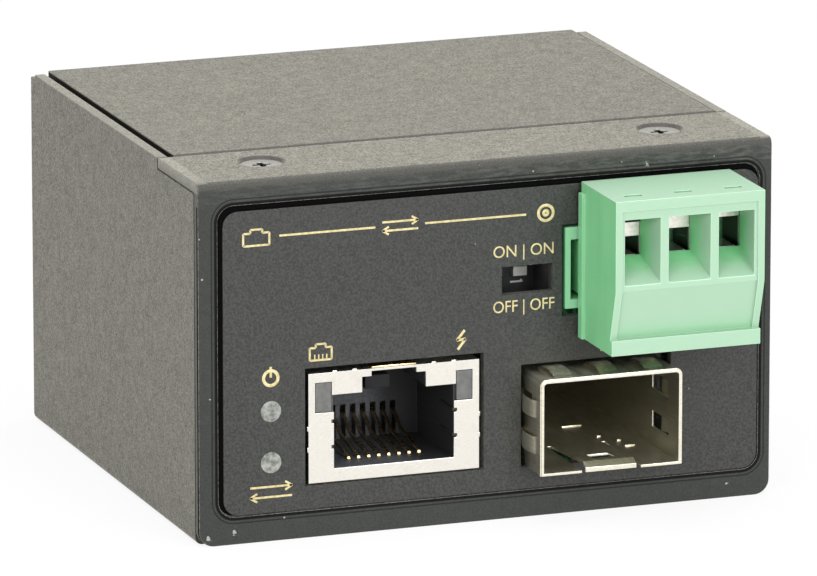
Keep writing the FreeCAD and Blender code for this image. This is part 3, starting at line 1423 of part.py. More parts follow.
def terminal_header():
    """Header soldered to the power board, open at the front for the plug, with three right-angle pins."""
    body = document.addObject("PartDesign::Body", "terminal_header")
    half = "header_width / 2"
    outline = sketch_in(body, "header_outline", "XZ_Plane", "case_depth / 2")
    rectangle(
        outline, f"terminal_x - {half}", POWER_TOP, f"terminal_x + {half}", f"{POWER_TOP} + header_height",
    )
    pad(body, "header_block", outline, "header_length", reverse=True)
    mouth = sketch_in(body, "mouth_outline", "XZ_Plane", "case_depth / 2")
    inner = f"({half} - header_wall_side)"
    rectangle(
        mouth, f"terminal_x - {inner}", f"{POWER_TOP} + header_wall_low",
        f"terminal_x + {inner}", f"{POWER_TOP} + header_height - header_wall_high",
    )
    pocket(body, "mouth", mouth, "mouth_length")
    holes = sketch_in(body, "pin_hole_outline", "XZ_Plane", "case_depth / 2")
    for pole in POLES:
        x = f"terminal_x + {pole} * pole_pitch"
        rectangle(
            holes, f"{x} - pin_size / 2", f"{PIN_Z} - pin_size / 2", f"{x} + pin_size / 2", f"{PIN_Z} + pin_size / 2",
        )
    pocket(body, "pin_holes", holes)
    node(body)
    pins = []
    drop = "(header_length + pin_drop_gap)"
    for pole in POLES:
        x = f"(terminal_x + {pole} * pole_pitch)"
        run = box(
            f"pin_run_{pole + 2}", centred(x, "pin_size"),
            (f"{FRONT} + pin_setback", f"{drop} + pin_size - pin_setback"), centred(PIN_Z, "pin_size"),
        )
        fall = box(
            f"pin_drop_{pole + 2}", centred(x, "pin_size"), (f"{FRONT} + {drop}", "pin_size"),
            (f"{POWER_TOP} - leg_length", "leg_length + pin_height + pin_size / 2"),
        )
        pins.append(fuse(f"header_pin_{pole + 2}", [run, fall]))
        power_drills.append((x, f"{FRONT} + {drop} + pin_size / 2", "pin_size * 0.71 + lead_gap"))
    node(group("header_pins", pins))


PLUG_FACE = f"({FRONT} - plug_reach)"
PLUG_REAR = f"({FRONT} - plug_gap)"
CHAMBER_FRONT = f"({PLUG_FACE} + entry_length)"
CHAMBER_REAR = f"({CHAMBER_FRONT} + chamber_length)"
CHAMBER_LOW = "(plug_low + clamp_head_seat + clamp_head_height + clamp_gap + clamp_floor)"
CHAMBER_HIGH = "(clamp_open + clamp_top + clamp_gap)"
SOCKET_HALF = "(pin_size / 2 + socket_gap + socket_wall)"


def plug_housing():
    """Moulded plug: leaning lower face, three funnelled wire entries, clamp chambers and the tongue."""
    body = document.addObject("PartDesign::Body", "plug_housing")
    profile = sketch_in(body, "plug_profile", "YZ_Plane", "terminal_x")
    ledge_high = "plug_low + ledge_height"
    polygon(profile, [
        (PLUG_REAR, "plug_low"),
        (PLUG_REAR, "plug_high"),
        (PLUG_FACE, "plug_high"),
        (PLUG_FACE, "face_low"),
        (f"{PLUG_FACE} + lean", ledge_high),
        (f"{PLUG_FACE} + lean - ledge_reach", ledge_high),
        (f"{PLUG_FACE} + lean - ledge_reach", "plug_low"),
    ])
    pad(body, "plug_block", profile, "plug_width", midplane=True)
    tongue = sketch_in(body, "tongue_outline", "XZ_Plane", f"-{PLUG_REAR}")
    half = "(plug_width / 2 - tongue_inset)"
    rectangle(
        tongue, f"terminal_x - {half}", f"{POWER_TOP} + header_wall_low + tongue_margin",
        f"terminal_x + {half}", f"{POWER_TOP} + header_height - header_wall_high - tongue_margin",
    )
    pad(body, "tongue", tongue, "tongue_length + plug_gap", reverse=True)
    for side, word in zip(SIDES, ("left", "right")):
        rib = sketch_in(body, f"rib_outline_{word}", "YZ_Plane", f"terminal_x + {side} * plug_width / 2")
        rectangle(rib, f"{PLUG_REAR} - sheet", "plug_low", PLUG_REAR, "plug_high - plug_rib_margin")
        pad(body, f"rib_{word}", rib, "plug_rib", reverse=side < 0)
    plug_faces(body)
    for pole in POLES:
        wire_entry(body, pole)
    clamp_chambers(body)
    node(body)


def plug_faces(body):
    """Shallow rebates of the front and the lower face, and the notches in the top."""
    rim = "(plug_width - 2 * face_rim)"
    upper = sketch_in(body, "upper_rebate_profile", "YZ_Plane", "terminal_x")
    rectangle(upper, f"{PLUG_FACE} - sheet", "face_low", f"{PLUG_FACE} + face_rebate", "face_high")
    pocket(body, "upper_rebate", upper, rim, midplane=True)
    low = "plug_low + ledge_height"
    lower = sketch_in(body, "lower_rebate_profile", "YZ_Plane", "terminal_x")
    polygon(lower, [
        (f"{PLUG_FACE} - sheet", "face_low"),
        (f"{PLUG_FACE} + lean - sheet", low),
        (f"{PLUG_FACE} + lean + lower_rebate", low),
        (f"{PLUG_FACE} + lower_rebate", "face_low"),
    ])
    pocket(body, "lower_rebate_cut", lower, rim, midplane=True)
    notches = sketch_in(body, "notch_outline", "XY_Plane", "plug_high")
    for pole in POLES:
        x = f"terminal_x + {pole} * pole_pitch"
        start = f"{PLUG_FACE} + top_notch_setback"
        rectangle(
            notches, f"{x} - top_notch_width / 2", start, f"{x} + top_notch_width / 2", f"{start} + top_notch_length",
        )
    pocket(body, "top_notches", notches, "top_notch_depth")


def wire_entry(body, pole):
    """Funnel from the face of the plug down to the clamp chamber of one pole."""
    centre = f"terminal_x + {pole} * pole_pitch"
    width = "(pole_pitch - entry_bar) / 2"
    left = f"{centre} - {width}" if pole >= 0 else "terminal_x - plug_width / 2 + entry_wall"
    right = f"{centre} + {width}" if pole <= 0 else "terminal_x + plug_width / 2 - entry_wall"
    wide = sketch_in(body, f"entry_face_{pole + 2}", "XZ_Plane", f"-{PLUG_FACE}")
    rectangle(wide, left, "entry_low", right, "entry_high")
    narrow = sketch_in(body, f"entry_throat_{pole + 2}", "XZ_Plane", f"-{CHAMBER_FRONT}")
    rectangle(
        narrow, f"{centre} - throat_width / 2", "entry_floor",
        f"{centre} + throat_width / 2", f"{CHAMBER_HIGH} - clamp_gap",
    )
    before = body.Shape.Volume
    funnel = body.newObject("PartDesign::SubtractiveLoft", f"entry_{pole + 2}")
    funnel.Profile = wide
    funnel.Sections = [narrow]
    funnel.Ruled = True
    document.recompute()
    if body.Shape.Volume >= before:
        raise RuntimeError(f"entry of pole {pole} cuts nothing")


def clamp_chambers(body):
    """Rooms for the clamps, screws and contacts of all three poles."""
    chambers = sketch_in(body, "chamber_outline", "XY_Plane", CHAMBER_HIGH)
    shanks = sketch_in(body, "shank_outline", "XY_Plane", CHAMBER_LOW)
    heads = sketch_in(body, "head_outline", "XY_Plane", "plug_low")
    bars = sketch_in(body, "bar_outline", "XZ_Plane", f"-{CHAMBER_REAR}")
    sockets = sketch_in(body, "socket_outline", "XZ_Plane", f"-{PLUG_REAR}")
    tips = sketch_in(body, "tip_outline", "XZ_Plane", f"-{PLUG_REAR}")
    for pole in POLES:
        x = f"terminal_x + {pole} * pole_pitch"
        half = "chamber_width / 2"
        rectangle(chambers, f"{x} - {half}", CHAMBER_FRONT, f"{x} + {half}", CHAMBER_REAR)
        y = f"{CHAMBER_FRONT} + chamber_length / 2"
        circle(shanks, x, y, "clamp_screw_radius + clamp_gap")
        circle(heads, x, y, "clamp_head_radius + clamp_gap")
        half = "(contact_width / 2 + contact_gap)"
        low = f"{PIN_Z} - {SOCKET_HALF} - contact_gap"
        rectangle(bars, f"{x} - {half}", low, f"{x} + {half}", "entry_floor + contact_gap")
        half = f"({SOCKET_HALF} + contact_gap)"
        rectangle(sockets, f"{x} - {half}", low, f"{x} + {half}", f"{PIN_Z} + {half}")
        half = "(pin_size / 2 + 2 * socket_gap)"
        rectangle(tips, f"{x} - {half}", f"{PIN_Z} - {half}", f"{x} + {half}", f"{PIN_Z} + {half}")
    pocket(body, "chambers", chambers, f"{CHAMBER_HIGH} - {CHAMBER_LOW}")
    pocket(body, "shank_holes", shanks, "clamp_floor + clamp_gap")
    pocket(body, "head_holes", heads, "clamp_head_seat + clamp_head_height + clamp_gap", reverse=True)
    pocket(body, "bar_slots", bars, f"{PLUG_REAR} - {CHAMBER_REAR}")
    pocket(body, "socket_rooms", sockets, "tongue_length + plug_gap - socket_end")
    pocket(body, "tip_holes", tips)


def clamps():
    """A clamp cage and its screw for each pole, and the three contacts between plug and header."""
    contacts = []
    middle_y = f"({CHAMBER_FRONT} + chamber_length / 2)"
    width = "(chamber_width - 2 * clamp_gap)"
    length = "(chamber_length - 2 * clamp_gap)"
    for pole, word in zip(POLES, ("left", "middle", "right")):
        number = pole + 2
        x = f"(terminal_x + {pole} * pole_pitch)"
        roof = f"(clamp_open - clamp_drop_{word})"
        low = f"({roof} - clamp_inner_height - clamp_base)"
        block = box(
            f"cage_block_{number}", centred(x, width), centred(middle_y, length),
            (low, "clamp_top + clamp_inner_height + clamp_base"),
        )
        space = box(
            f"cage_space_{number}", centred(x, f"({width} - 2 * clamp_side)"), centred(middle_y, length),
            (f"{roof} - clamp_inner_height", "clamp_inner_height"),
        )
        thread = cylinder(
            f"cage_thread_{number}", "z", "clamp_screw_radius + clamp_thread_gap", (x, middle_y, low), "clamp_base",
        )
        node(cut(f"clamp_cage_{number}", block, [space, thread]))
        head_low = "(plug_low + clamp_head_seat)"
        head_high = f"({head_low} + clamp_head_height)"
        bar_low = "(entry_floor - contact_thickness)"
        head = cylinder(
            f"screw_head_{number}", "z", "clamp_head_radius", (x, middle_y, head_low), "clamp_head_height",
        )
        shank = cylinder(
            f"screw_shank_{number}", "z", "clamp_screw_radius", (x, middle_y, head_high),
            f"{bar_low} - clamp_gap - {head_high}",
        )
        slot = box(
            f"screw_slot_{number}", centred(x, "3 * clamp_head_radius"), centred(middle_y, "drive_width"),
            (head_low, "drive_depth"),
        )
        node(cut(f"clamp_screw_{number}", fuse(f"screw_blank_{number}", [head, shank]), [slot]))
        contacts.append(plug_contact(number, x, bar_low))
    node(group("plug_contacts", contacts))


def plug_contact(number, x, bar_low):
    """Clamping bar, web and box socket of one pole, bent from one strip."""
    bar_start = f"{CHAMBER_FRONT} + clamp_gap"
    web = f"({PLUG_REAR} - contact_web)"
    bar = box(
        f"contact_bar_{number}", centred(x, "contact_width"), (bar_start, f"{web} - ({bar_start})"),
        (bar_low, "contact_thickness"),
    )
    socket_low = f"({PIN_Z} - {SOCKET_HALF})"
    middle = box(
        f"contact_web_{number}", centred(x, "contact_width"), (web, "contact_web"),
        (socket_low, f"entry_floor - {socket_low}"),
    )
    room = f"(2 * {SOCKET_HALF})"
    socket = box(
        f"contact_socket_{number}", centred(x, room),
        (PLUG_REAR, "tongue_length + plug_gap - socket_end - contact_gap"), (socket_low, room),
    )
    way = box(
        f"contact_way_{number}", centred(x, "(pin_size + 2 * socket_gap)"),
        (PLUG_REAR, "tongue_length + plug_gap"), centred(PIN_Z, "(pin_size + 2 * socket_gap)"),
    )
    return cut(f"contact_{number}", fuse(f"contact_blank_{number}", [bar, middle, socket]), [way])


# --- Boards and what they carry -----------------------------------------------------------------------


def chip(name, level, label=None):
    """A soldered block package, from its own five sizes, labelled with its name unless told otherwise."""
    return box(
        label or name, centred(f"{name}_x", f"{name}_width"), centred(f"({FRONT} + {name}_depth)", f"{name}_length"),
        (level, f"{name}_height"),
    )


def gull_leads(name, level, pitch, count):
    """Flat feet along the left and right sides of a package, in two rows."""
    feet = []
    for side in SIDES:
        edge = f"{name}_x + {side} * {name}_width / 2"
        low = f"{edge} - gull_length" if side < 0 else edge
        for index in range(count):
            middle = f"({FRONT} + {name}_depth + ({index} - {(count - 1) / 2}) * {pitch})"
            feet.append(box(
                f"{name}_foot_{len(feet)}", (low, "gull_length"), centred(middle, "gull_width"),
                (level, "gull_thickness"),
            ))
    return feet


def can(name, level):
    """An upright round package, from its own five sizes."""
    start = (f"{name}_x", f"({FRONT} + {name}_depth)", level)
    return cylinder(name, "z", f"{name}_width / 2", start, f"{name}_height")


def main_board_parts():
    """Packages on the main board."""
    for name in ("main_chip", "lan_transformer", "flash_memory", "crystal", "core_regulator"):
        node(chip(name, BOARD_TOP))
    feet = gull_leads("main_chip", BOARD_TOP, "host_pin_pitch", 14)
    feet += gull_leads("lan_transformer", BOARD_TOP, "host_pin_pitch", 8)
    feet += gull_leads("flash_memory", BOARD_TOP, "host_pin_pitch", 4)
    feet += gull_leads("core_regulator", BOARD_TOP, "host_pin_pitch", 4)
    node(group("chip_leads", feet))


def board_link():
    """Socket on the main board, header under the power board and the pins that join them."""
    socket_holes = []
    header_holes = []
    pins = []
    for across in SIDES:
        for index in range(5):
            x = f"(link_socket_x + {across} * link_pitch / 2)"
            y = f"({FRONT} + link_socket_depth + ({index} - 2) * link_pitch)"
            mark = f"{(across + 1) // 2}_{index}"
            bottom = f"({BOARD_TOP} + link_socket_height / 2)"
            pins.append(box(
                f"link_pin_{mark}", centred(x, "link_pin"), centred(y, "link_pin"),
                (bottom, f"{POWER_TOP} + link_stub - {bottom}"),
            ))
            room = "(link_pin + 2 * seat_gap)"
            socket_holes.append(box(
                f"socket_hole_{mark}", centred(x, room), centred(y, room),
                (f"{bottom} - seat_gap", f"{POWER_LOW} - {bottom} + 2 * seat_gap"),
            ))
            header_holes.append(box(
                f"header_hole_{mark}", centred(x, "link_pin"), centred(y, "link_pin"),
                (bottom, f"{POWER_LOW} - {bottom} + 2 * seat_gap"),
            ))
            power_drills.append((x, y, "link_pin * 0.71 + lead_gap"))
    node(cut("link_socket", chip("link_socket", BOARD_TOP, "link_socket_block"), socket_holes))
    strip_low = f"({BOARD_TOP} + link_socket_height)"
    strip = box(
        "link_strip", centred("link_socket_x", "link_socket_width"),
        centred(f"({FRONT} + link_socket_depth)", "link_socket_length"), (strip_low, f"{POWER_LOW} - {strip_low}"),
    )
    node(cut("link_header", strip, header_holes))
    node(group("link_pins", pins))


def power_transformer():
    """Bobbin plate, two-window core and the winding that fills the windows and wraps the middle leg."""
    x = "power_transformer_x"
    y = f"({FRONT} + power_transformer_depth)"
    width, length = "power_transformer_width", "power_transformer_length"
    node(box("transformer_bobbin", centred(x, width), centred(y, length), (POWER_TOP, "bobbin_height")))
    core_low = f"({POWER_TOP} + bobbin_height)"
    core_height = "(power_transformer_height - bobbin_height)"
    block = box("core_block", centred(x, width), centred(y, "core_length"), (core_low, core_height))
    window_low = f"({core_low} + core_yoke)"
    window_height = f"({core_height} - 2 * core_yoke)"
    windows = []
    for side in SIDES:
        inner = f"{x} + {side} * core_leg / 2"
        span = f"({width} / 2 - 1.5 * core_leg)"
        low = inner if side > 0 else f"{inner} - {span}"
        windows.append(box(
            f"core_window_{side + 2}", (low, span), centred(y, "core_length"), (window_low, window_height),
        ))
    node(cut("transformer_core", block, windows))
    coil = box(
        "coil_block", centred(x, f"({width} - 2 * core_leg)"), centred(y, length), (window_low, window_height),
    )
    leg = box("coil_way", centred(x, "core_leg"), centred(y, "core_length"), (window_low, window_height))
    node(cut("transformer_winding", coil, [leg]))


def power_board_parts():
    """Packages on the power board and the leads of its upright cans."""
    for name in ("power_controller", "power_inductor", "input_diode"):
        node(chip(name, POWER_TOP))
    leads = gull_leads("power_controller", POWER_TOP, "host_pin_pitch", 4)
    for name in ("input_fuse", "input_capacitor", "output_capacitor"):
        node(can(name, POWER_TOP))
        y = f"({FRONT} + {name}_depth)"
        for side in SIDES:
            x = f"{name}_x + {side} * can_lead_spacing / 2"
            leads.append(cylinder(
                f"{name}_lead_{side + 2}", "z", "lead_size / 2", (x, y, f"{POWER_TOP} - leg_length"), "leg_length",
            ))
            power_drills.append((x, y, "lead_size / 2 + lead_gap"))
    node(group("power_leads", leads))
    power_transformer()


def chip_capacitors():
    """A row of small chip capacitors behind the main chip."""
    chips = []
    for index in range(6):
        x = f"chip_capacitor_start + {index} * chip_capacitor_pitch"
        chips.append(box(
            f"chip_capacitor_{index}", centred(x, "chip_capacitor_width"),
            centred(f"({FRONT} + chip_capacitor_depth)", "chip_capacitor_size"), (BOARD_TOP, "chip_capacitor_size"),
        ))
    node(group("chip_capacitors", chips))


def board(name, level, drills):
    """A circuit board with a hole for every lead, pin, peg and post that passes through it."""
    body = document.addObject("PartDesign::Body", name)
    outline = sketch_in(body, f"{name}_outline", "XY_Plane", level)
    half = "(case_width / 2 - sheet - board_margin)"
    rectangle(outline, f"-{half}", f"{FRONT} + board_front_depth", half, f"{FRONT} + board_rear_depth")
    pad(body, f"{name}_sheet", outline, "board_thickness")
    holes = sketch_in(body, f"{name}_holes_outline", "XY_Plane", f"{level} + board_thickness")
    for _, x, y in corner_posts():
        circle(holes, x, y, "screw_radius + seat_gap")
    for x, y, radius in drills:
        circle(holes, x, y, radius)
    pocket(body, f"{name}_holes", holes)
    node(body)


def check():
    """Stop if any object failed or any sub-part's shape is missing or faulty."""
    for item in document.Objects:
        if "Invalid" in item.State or "Error" in item.State:
            raise RuntimeError(f"{item.Label} failed: {item.getStatusString()}")
    for piece in nodes:
        if piece.Shape.isNull() or not piece.Shape.isValid() or not piece.Shape.Solids:
            raise RuntimeError(f"{piece.Label} has no valid solid")


def main():
    """Build the document, check it and write one STEP file for each sub-part."""
    front_panel()
    base_shell()
    top_cover()
    front_label()
    cover_screws()
    press_nuts()
    board_posts()
    rj45_shield()
    rj45_housing()
    rj45_contacts()
    rj45_light_pipes()
    sfp_cage()
    sfp_spring_collar()
    sfp_connector()
    status_lamps()
    option_switch()
    terminal_header()
    plug_housing()
    clamps()
    main_board_parts()
    board_link()
    power_board_parts()
    chip_capacitors()
    board("main_board", BOARD_LOW, main_drills)
    board("power_board", POWER_LOW, power_drills)
    document.recompute()
    check()
    os.makedirs("parts", exist_ok=True)
    for piece in nodes:
        piece.Shape.exportStep(f"parts/{piece.Label}.step")


main()
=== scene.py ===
"""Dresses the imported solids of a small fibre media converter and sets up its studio."""

import logging
import math
from dataclasses import dataclass, field
from enum import Enum

import bpy
from mathutils import Matrix, Vector


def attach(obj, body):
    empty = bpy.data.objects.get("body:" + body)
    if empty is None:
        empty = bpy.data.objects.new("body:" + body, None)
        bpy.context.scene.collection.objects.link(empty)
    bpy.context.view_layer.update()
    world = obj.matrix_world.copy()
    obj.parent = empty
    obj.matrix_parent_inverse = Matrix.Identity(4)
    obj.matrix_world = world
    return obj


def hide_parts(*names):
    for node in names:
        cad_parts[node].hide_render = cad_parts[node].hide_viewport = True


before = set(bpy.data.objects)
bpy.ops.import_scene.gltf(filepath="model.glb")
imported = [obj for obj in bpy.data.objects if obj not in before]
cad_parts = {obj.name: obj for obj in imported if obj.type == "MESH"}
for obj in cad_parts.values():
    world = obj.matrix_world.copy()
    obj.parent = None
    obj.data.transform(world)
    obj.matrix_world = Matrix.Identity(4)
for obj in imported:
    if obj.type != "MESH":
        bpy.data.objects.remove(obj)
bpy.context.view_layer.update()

LOG = logging.getLogger("media_converter")
MM = 0.001

Colour = tuple[float, float, float]
Triple = tuple[float, float, float]
Span = tuple[float, float]
Box = tuple[float, float, float, float]
Socket = bpy.types.NodeSocket
Piece = bpy.types.Object

FACE = -25.5  # the front's plane, in millimetres
UNDER = -1.0  # just below the object
FAR = 90.0  # well past the object along any axis
BEYOND = (FAR, FAR + 1.0)  # a stretch that the object doesn't reach
MERGE = 0.0015  # millimetres between doubled corners
FLAT_ANGLE = math.radians(0.6)
BEVEL_ANGLE = math.radians(32.0)
SMOOTH_ANGLE = math.radians(40.0)


class Slot(Enum):
    """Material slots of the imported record."""

    CASE = "case_black"
    COVER_SCREW = "screw_black"
    LABEL = "label_film"
    ZINC = "zinc_steel"
    BOARD = "main_board_green"
    NICKEL = "nickel_sheet"
    NYLON = "connector_black"
    GOLD = "gold_contact"
    TIN = "tinned"
    PIPE = "light_pipe"
    LAMP = "lamp_clear"
    SLIDER = "slider_white"
    TERMINAL = "terminal_green"
    CLAMP_SCREW = "screw_steel"
    CERAMIC = "ceramic"
    FUSE = "fuse_brown"
    SLEEVE = "capacitor_sleeve"
    FERRITE = "ferrite"
    TAPE = "winding_tape"


# --- Finishes -----------------------------------------------------------------------------------------


class Graph:
    """A material's nodes, with every pattern laid out in millimetres of the object's own space."""

    def __init__(self, name: str) -> None:
        """Start an empty material with one principled shader.

        Args:
            name: The material's name.
        """
        self.material = bpy.data.materials.new(name)
        self.material.use_nodes = True
        self.tree = self.material.node_tree
        self.tree.nodes.clear()
        self.shader = self.tree.nodes.new("ShaderNodeBsdfPrincipled")
        output = self.tree.nodes.new("ShaderNodeOutputMaterial")
        self.tree.links.new(self.shader.outputs[0], output.inputs["Surface"])
        self.place = self.tree.nodes.new("ShaderNodeTexCoord").outputs["Object"]

    def put(self, socket: str, value: object) -> None:
        """Set one of the shader's inputs.

        Args:
            socket: The input's name.
            value: A number, a colour or a node's output.
        """
        if isinstance(value, Socket):
            self.tree.links.new(value, self.shader.inputs[socket])
        elif isinstance(value, tuple):
            self.shader.inputs[socket].default_value = (*value, 1.0)
        else:
            self.shader.inputs[socket].default_value = value

    def node(self, kind: str, inputs: dict[object, object], **settings: object) -> bpy.types.Node:
        """Add a node.

        Args:
            kind: The node's type name.
            inputs: Values or sockets for its inputs, by name or number.
            settings: The node's own properties.

        Returns:
            The new node.
        """
        made = self.tree.nodes.new(kind)
        for key, value in settings.items():
            setattr(made, key, value)
        for key, value in inputs.items():
            if isinstance(value, Socket):
                self.tree.links.new(value, made.inputs[key])
            else:
                made.inputs[key].default_value = value
        return made

    def spread(self, stretch: Triple = (1, 1, 1)) -> Socket:
        """Object coordinates in millimetres, squeezed by a factor along each axis."""
        scale = tuple(part / MM for part in stretch)
        return self.node("ShaderNodeMapping", {"Vector": self.place, "Scale": scale}).outputs[0]

    def noise(self, scale: float, detail: float = 3.0, stretch: Triple = (1, 1, 1), rough: float = 0.5) -> Socket:
        """Cloudy noise.

        Args:
            scale: Features in each millimetre.
            detail: Levels of finer noise.
            stretch: A factor that squeezes it along each axis.
            rough: Strength of the finer levels.

        Returns:
            The noise, mostly between 0.3 and 0.7.
        """
        inputs = {"Vector": self.spread(stretch), "Scale": scale, "Detail": detail, "Roughness": rough}
        return self.node("ShaderNodeTexNoise", inputs).outputs[0]

    def specks(self, scale: float, size: float) -> Socket:
        """Scattered specks: how many in each millimetre, and their size against the gaps."""
        cells = self.node("ShaderNodeTexVoronoi", {"Vector": self.spread(), "Scale": scale})
        return self.between(cells.outputs["Distance"], 0.0, size, 1.0, 0.0)

    def between(self, factor: Socket, low: float, high: float, start: float = 0.0, end: float = 1.0) -> Socket:
        """Map a factor from one range to another, held at both ends."""
        inputs = {0: factor, 1: low, 2: high, 3: start, 4: end}
        return self.node("ShaderNodeMapRange", inputs).outputs[0]

    def blend(self, factor: object, first: object, second: object) -> Socket:
        """Blend two colours.

        Args:
            factor: The second colour's share.
            first: A colour or a node's output.
            second: A colour or a node's output.

        Returns:
            The blended colour.
        """
        inputs = {0: factor}
        for key, colour in ((6, first), (7, second)):
            inputs[key] = (*colour, 1.0) if isinstance(colour, tuple) else colour
        return self.node("ShaderNodeMix", inputs, data_type="RGBA").outputs[2]

    def calculate(self, operation: str, *values: object) -> Socket:
        """One step of arithmetic on numbers."""
        return self.node("ShaderNodeMath", dict(enumerate(values)), operation=operation).outputs[0]

    def shift(self, operation: str, *values: object) -> bpy.types.Node:
        """One step of arithmetic on places."""
        return self.node("ShaderNodeVectorMath", dict(enumerate(values)), operation=operation)

    def product(self, first: object, second: object) -> Socket:
        """Multiply two factors."""
        return self.calculate("MULTIPLY", first, second)

    def most(self, first: object, second: object) -> Socket:
        """The larger of two factors."""
        return self.calculate("MAXIMUM", first, second)

    def along(self, axis: int) -> Socket:
        """The place along an axis, in millimetres."""
        return self.node("ShaderNodeSeparateXYZ", {0: self.spread()}).outputs[axis]

    def band(self, axis: int, low: float, high: float) -> Socket:
        """A factor that is 1 between two places along an axis, in millimetres."""
        place = self.along(axis)
        return self.product(self.calculate("GREATER_THAN", place, low), self.calculate("LESS_THAN", place, high))

    def ramp(self, axis: int, start: float, end: float) -> Socket:
        """A factor that rises from 0 to 1 between two places along an axis, in millimetres."""
        return self.between(self.along(axis), start, end)

    def outside(self, box: Box, radius: float) -> Socket:
        """Distance outside a rounded rectangle, seen from the front.

        Args:
            box: Its left, right, low and high edges, in millimetres.
            radius: Radius of its corners, in millimetres.

        Returns:
            The distance in millimetres, below 0 inside.
        """
        left, right, low, high = box
        middle = ((left + right) / 2, 0.0, (low + high) / 2)
        half = ((right - left) / 2 - radius, 0.0, (high - low) / 2 - radius)
        place = self.shift("SUBTRACT", self.spread(), middle).outputs[0]
        place = self.shift("MULTIPLY", place, (1.0, 0.0, 1.0)).outputs[0]
        place = self.shift("ABSOLUTE", place).outputs[0]
        place = self.shift("SUBTRACT", place, half).outputs[0]
        place = self.shift("MAXIMUM", place, (0.0, 0.0, 0.0)).outputs[0]
        return self.calculate("SUBTRACT", self.shift("LENGTH", place).outputs["Value"], radius)

    def bump(self, height: Socket, depth: float, under: Socket | None = None) -> Socket:
        """Raise the surface by a height pattern.

        Args:
            height: The pattern.
            depth: Its height, in millimetres.
            under: Another bump that it lies on, if there is one.

        Returns:
            The new normal.
        """
        inputs = {"Strength": 1.0, "Distance": depth * MM, "Height": height}
        if under is not None:
            inputs["Normal"] = under
        return self.node("ShaderNodeBump", inputs).outputs[0]


@dataclass(frozen=True)
class Finish:
    """A moulded or cast surface: two close colours in soft clouds, fine grain and a band of roughness."""

    name: str
    dark: Colour
    light: Colour
    rough_low: float = 0.4
    rough_high: float = 0.55
    cloud: float = 0.5
    grain: float = 9.0
    grain_depth: float = 0.004
    metallic: float = 0.0
    specular: float = 0.5
    stretch: Triple = (1, 1, 1)

    def make(self) -> bpy.types.Material:
        """Build the material.

        Returns:
            The material, with the finish's name.
        """
        graph = Graph(self.name)
        clouds = graph.between(graph.noise(self.cloud, 4.0), 0.35, 0.65)
        grain = graph.noise(self.grain, stretch=self.stretch)
        graph.put("Base Color", graph.blend(clouds, self.dark, self.light))
        graph.put("Roughness", graph.between(grain, 0.3, 0.7, self.rough_low, self.rough_high))
        graph.put("Normal", graph.bump(grain, self.grain_depth))
        graph.put("Metallic", self.metallic)
        graph.put("Specular IOR Level", self.specular)
        self.detail(graph)
        return graph.material

    def detail(self, graph: Graph) -> None:
        """Leave the plain surface as it is."""


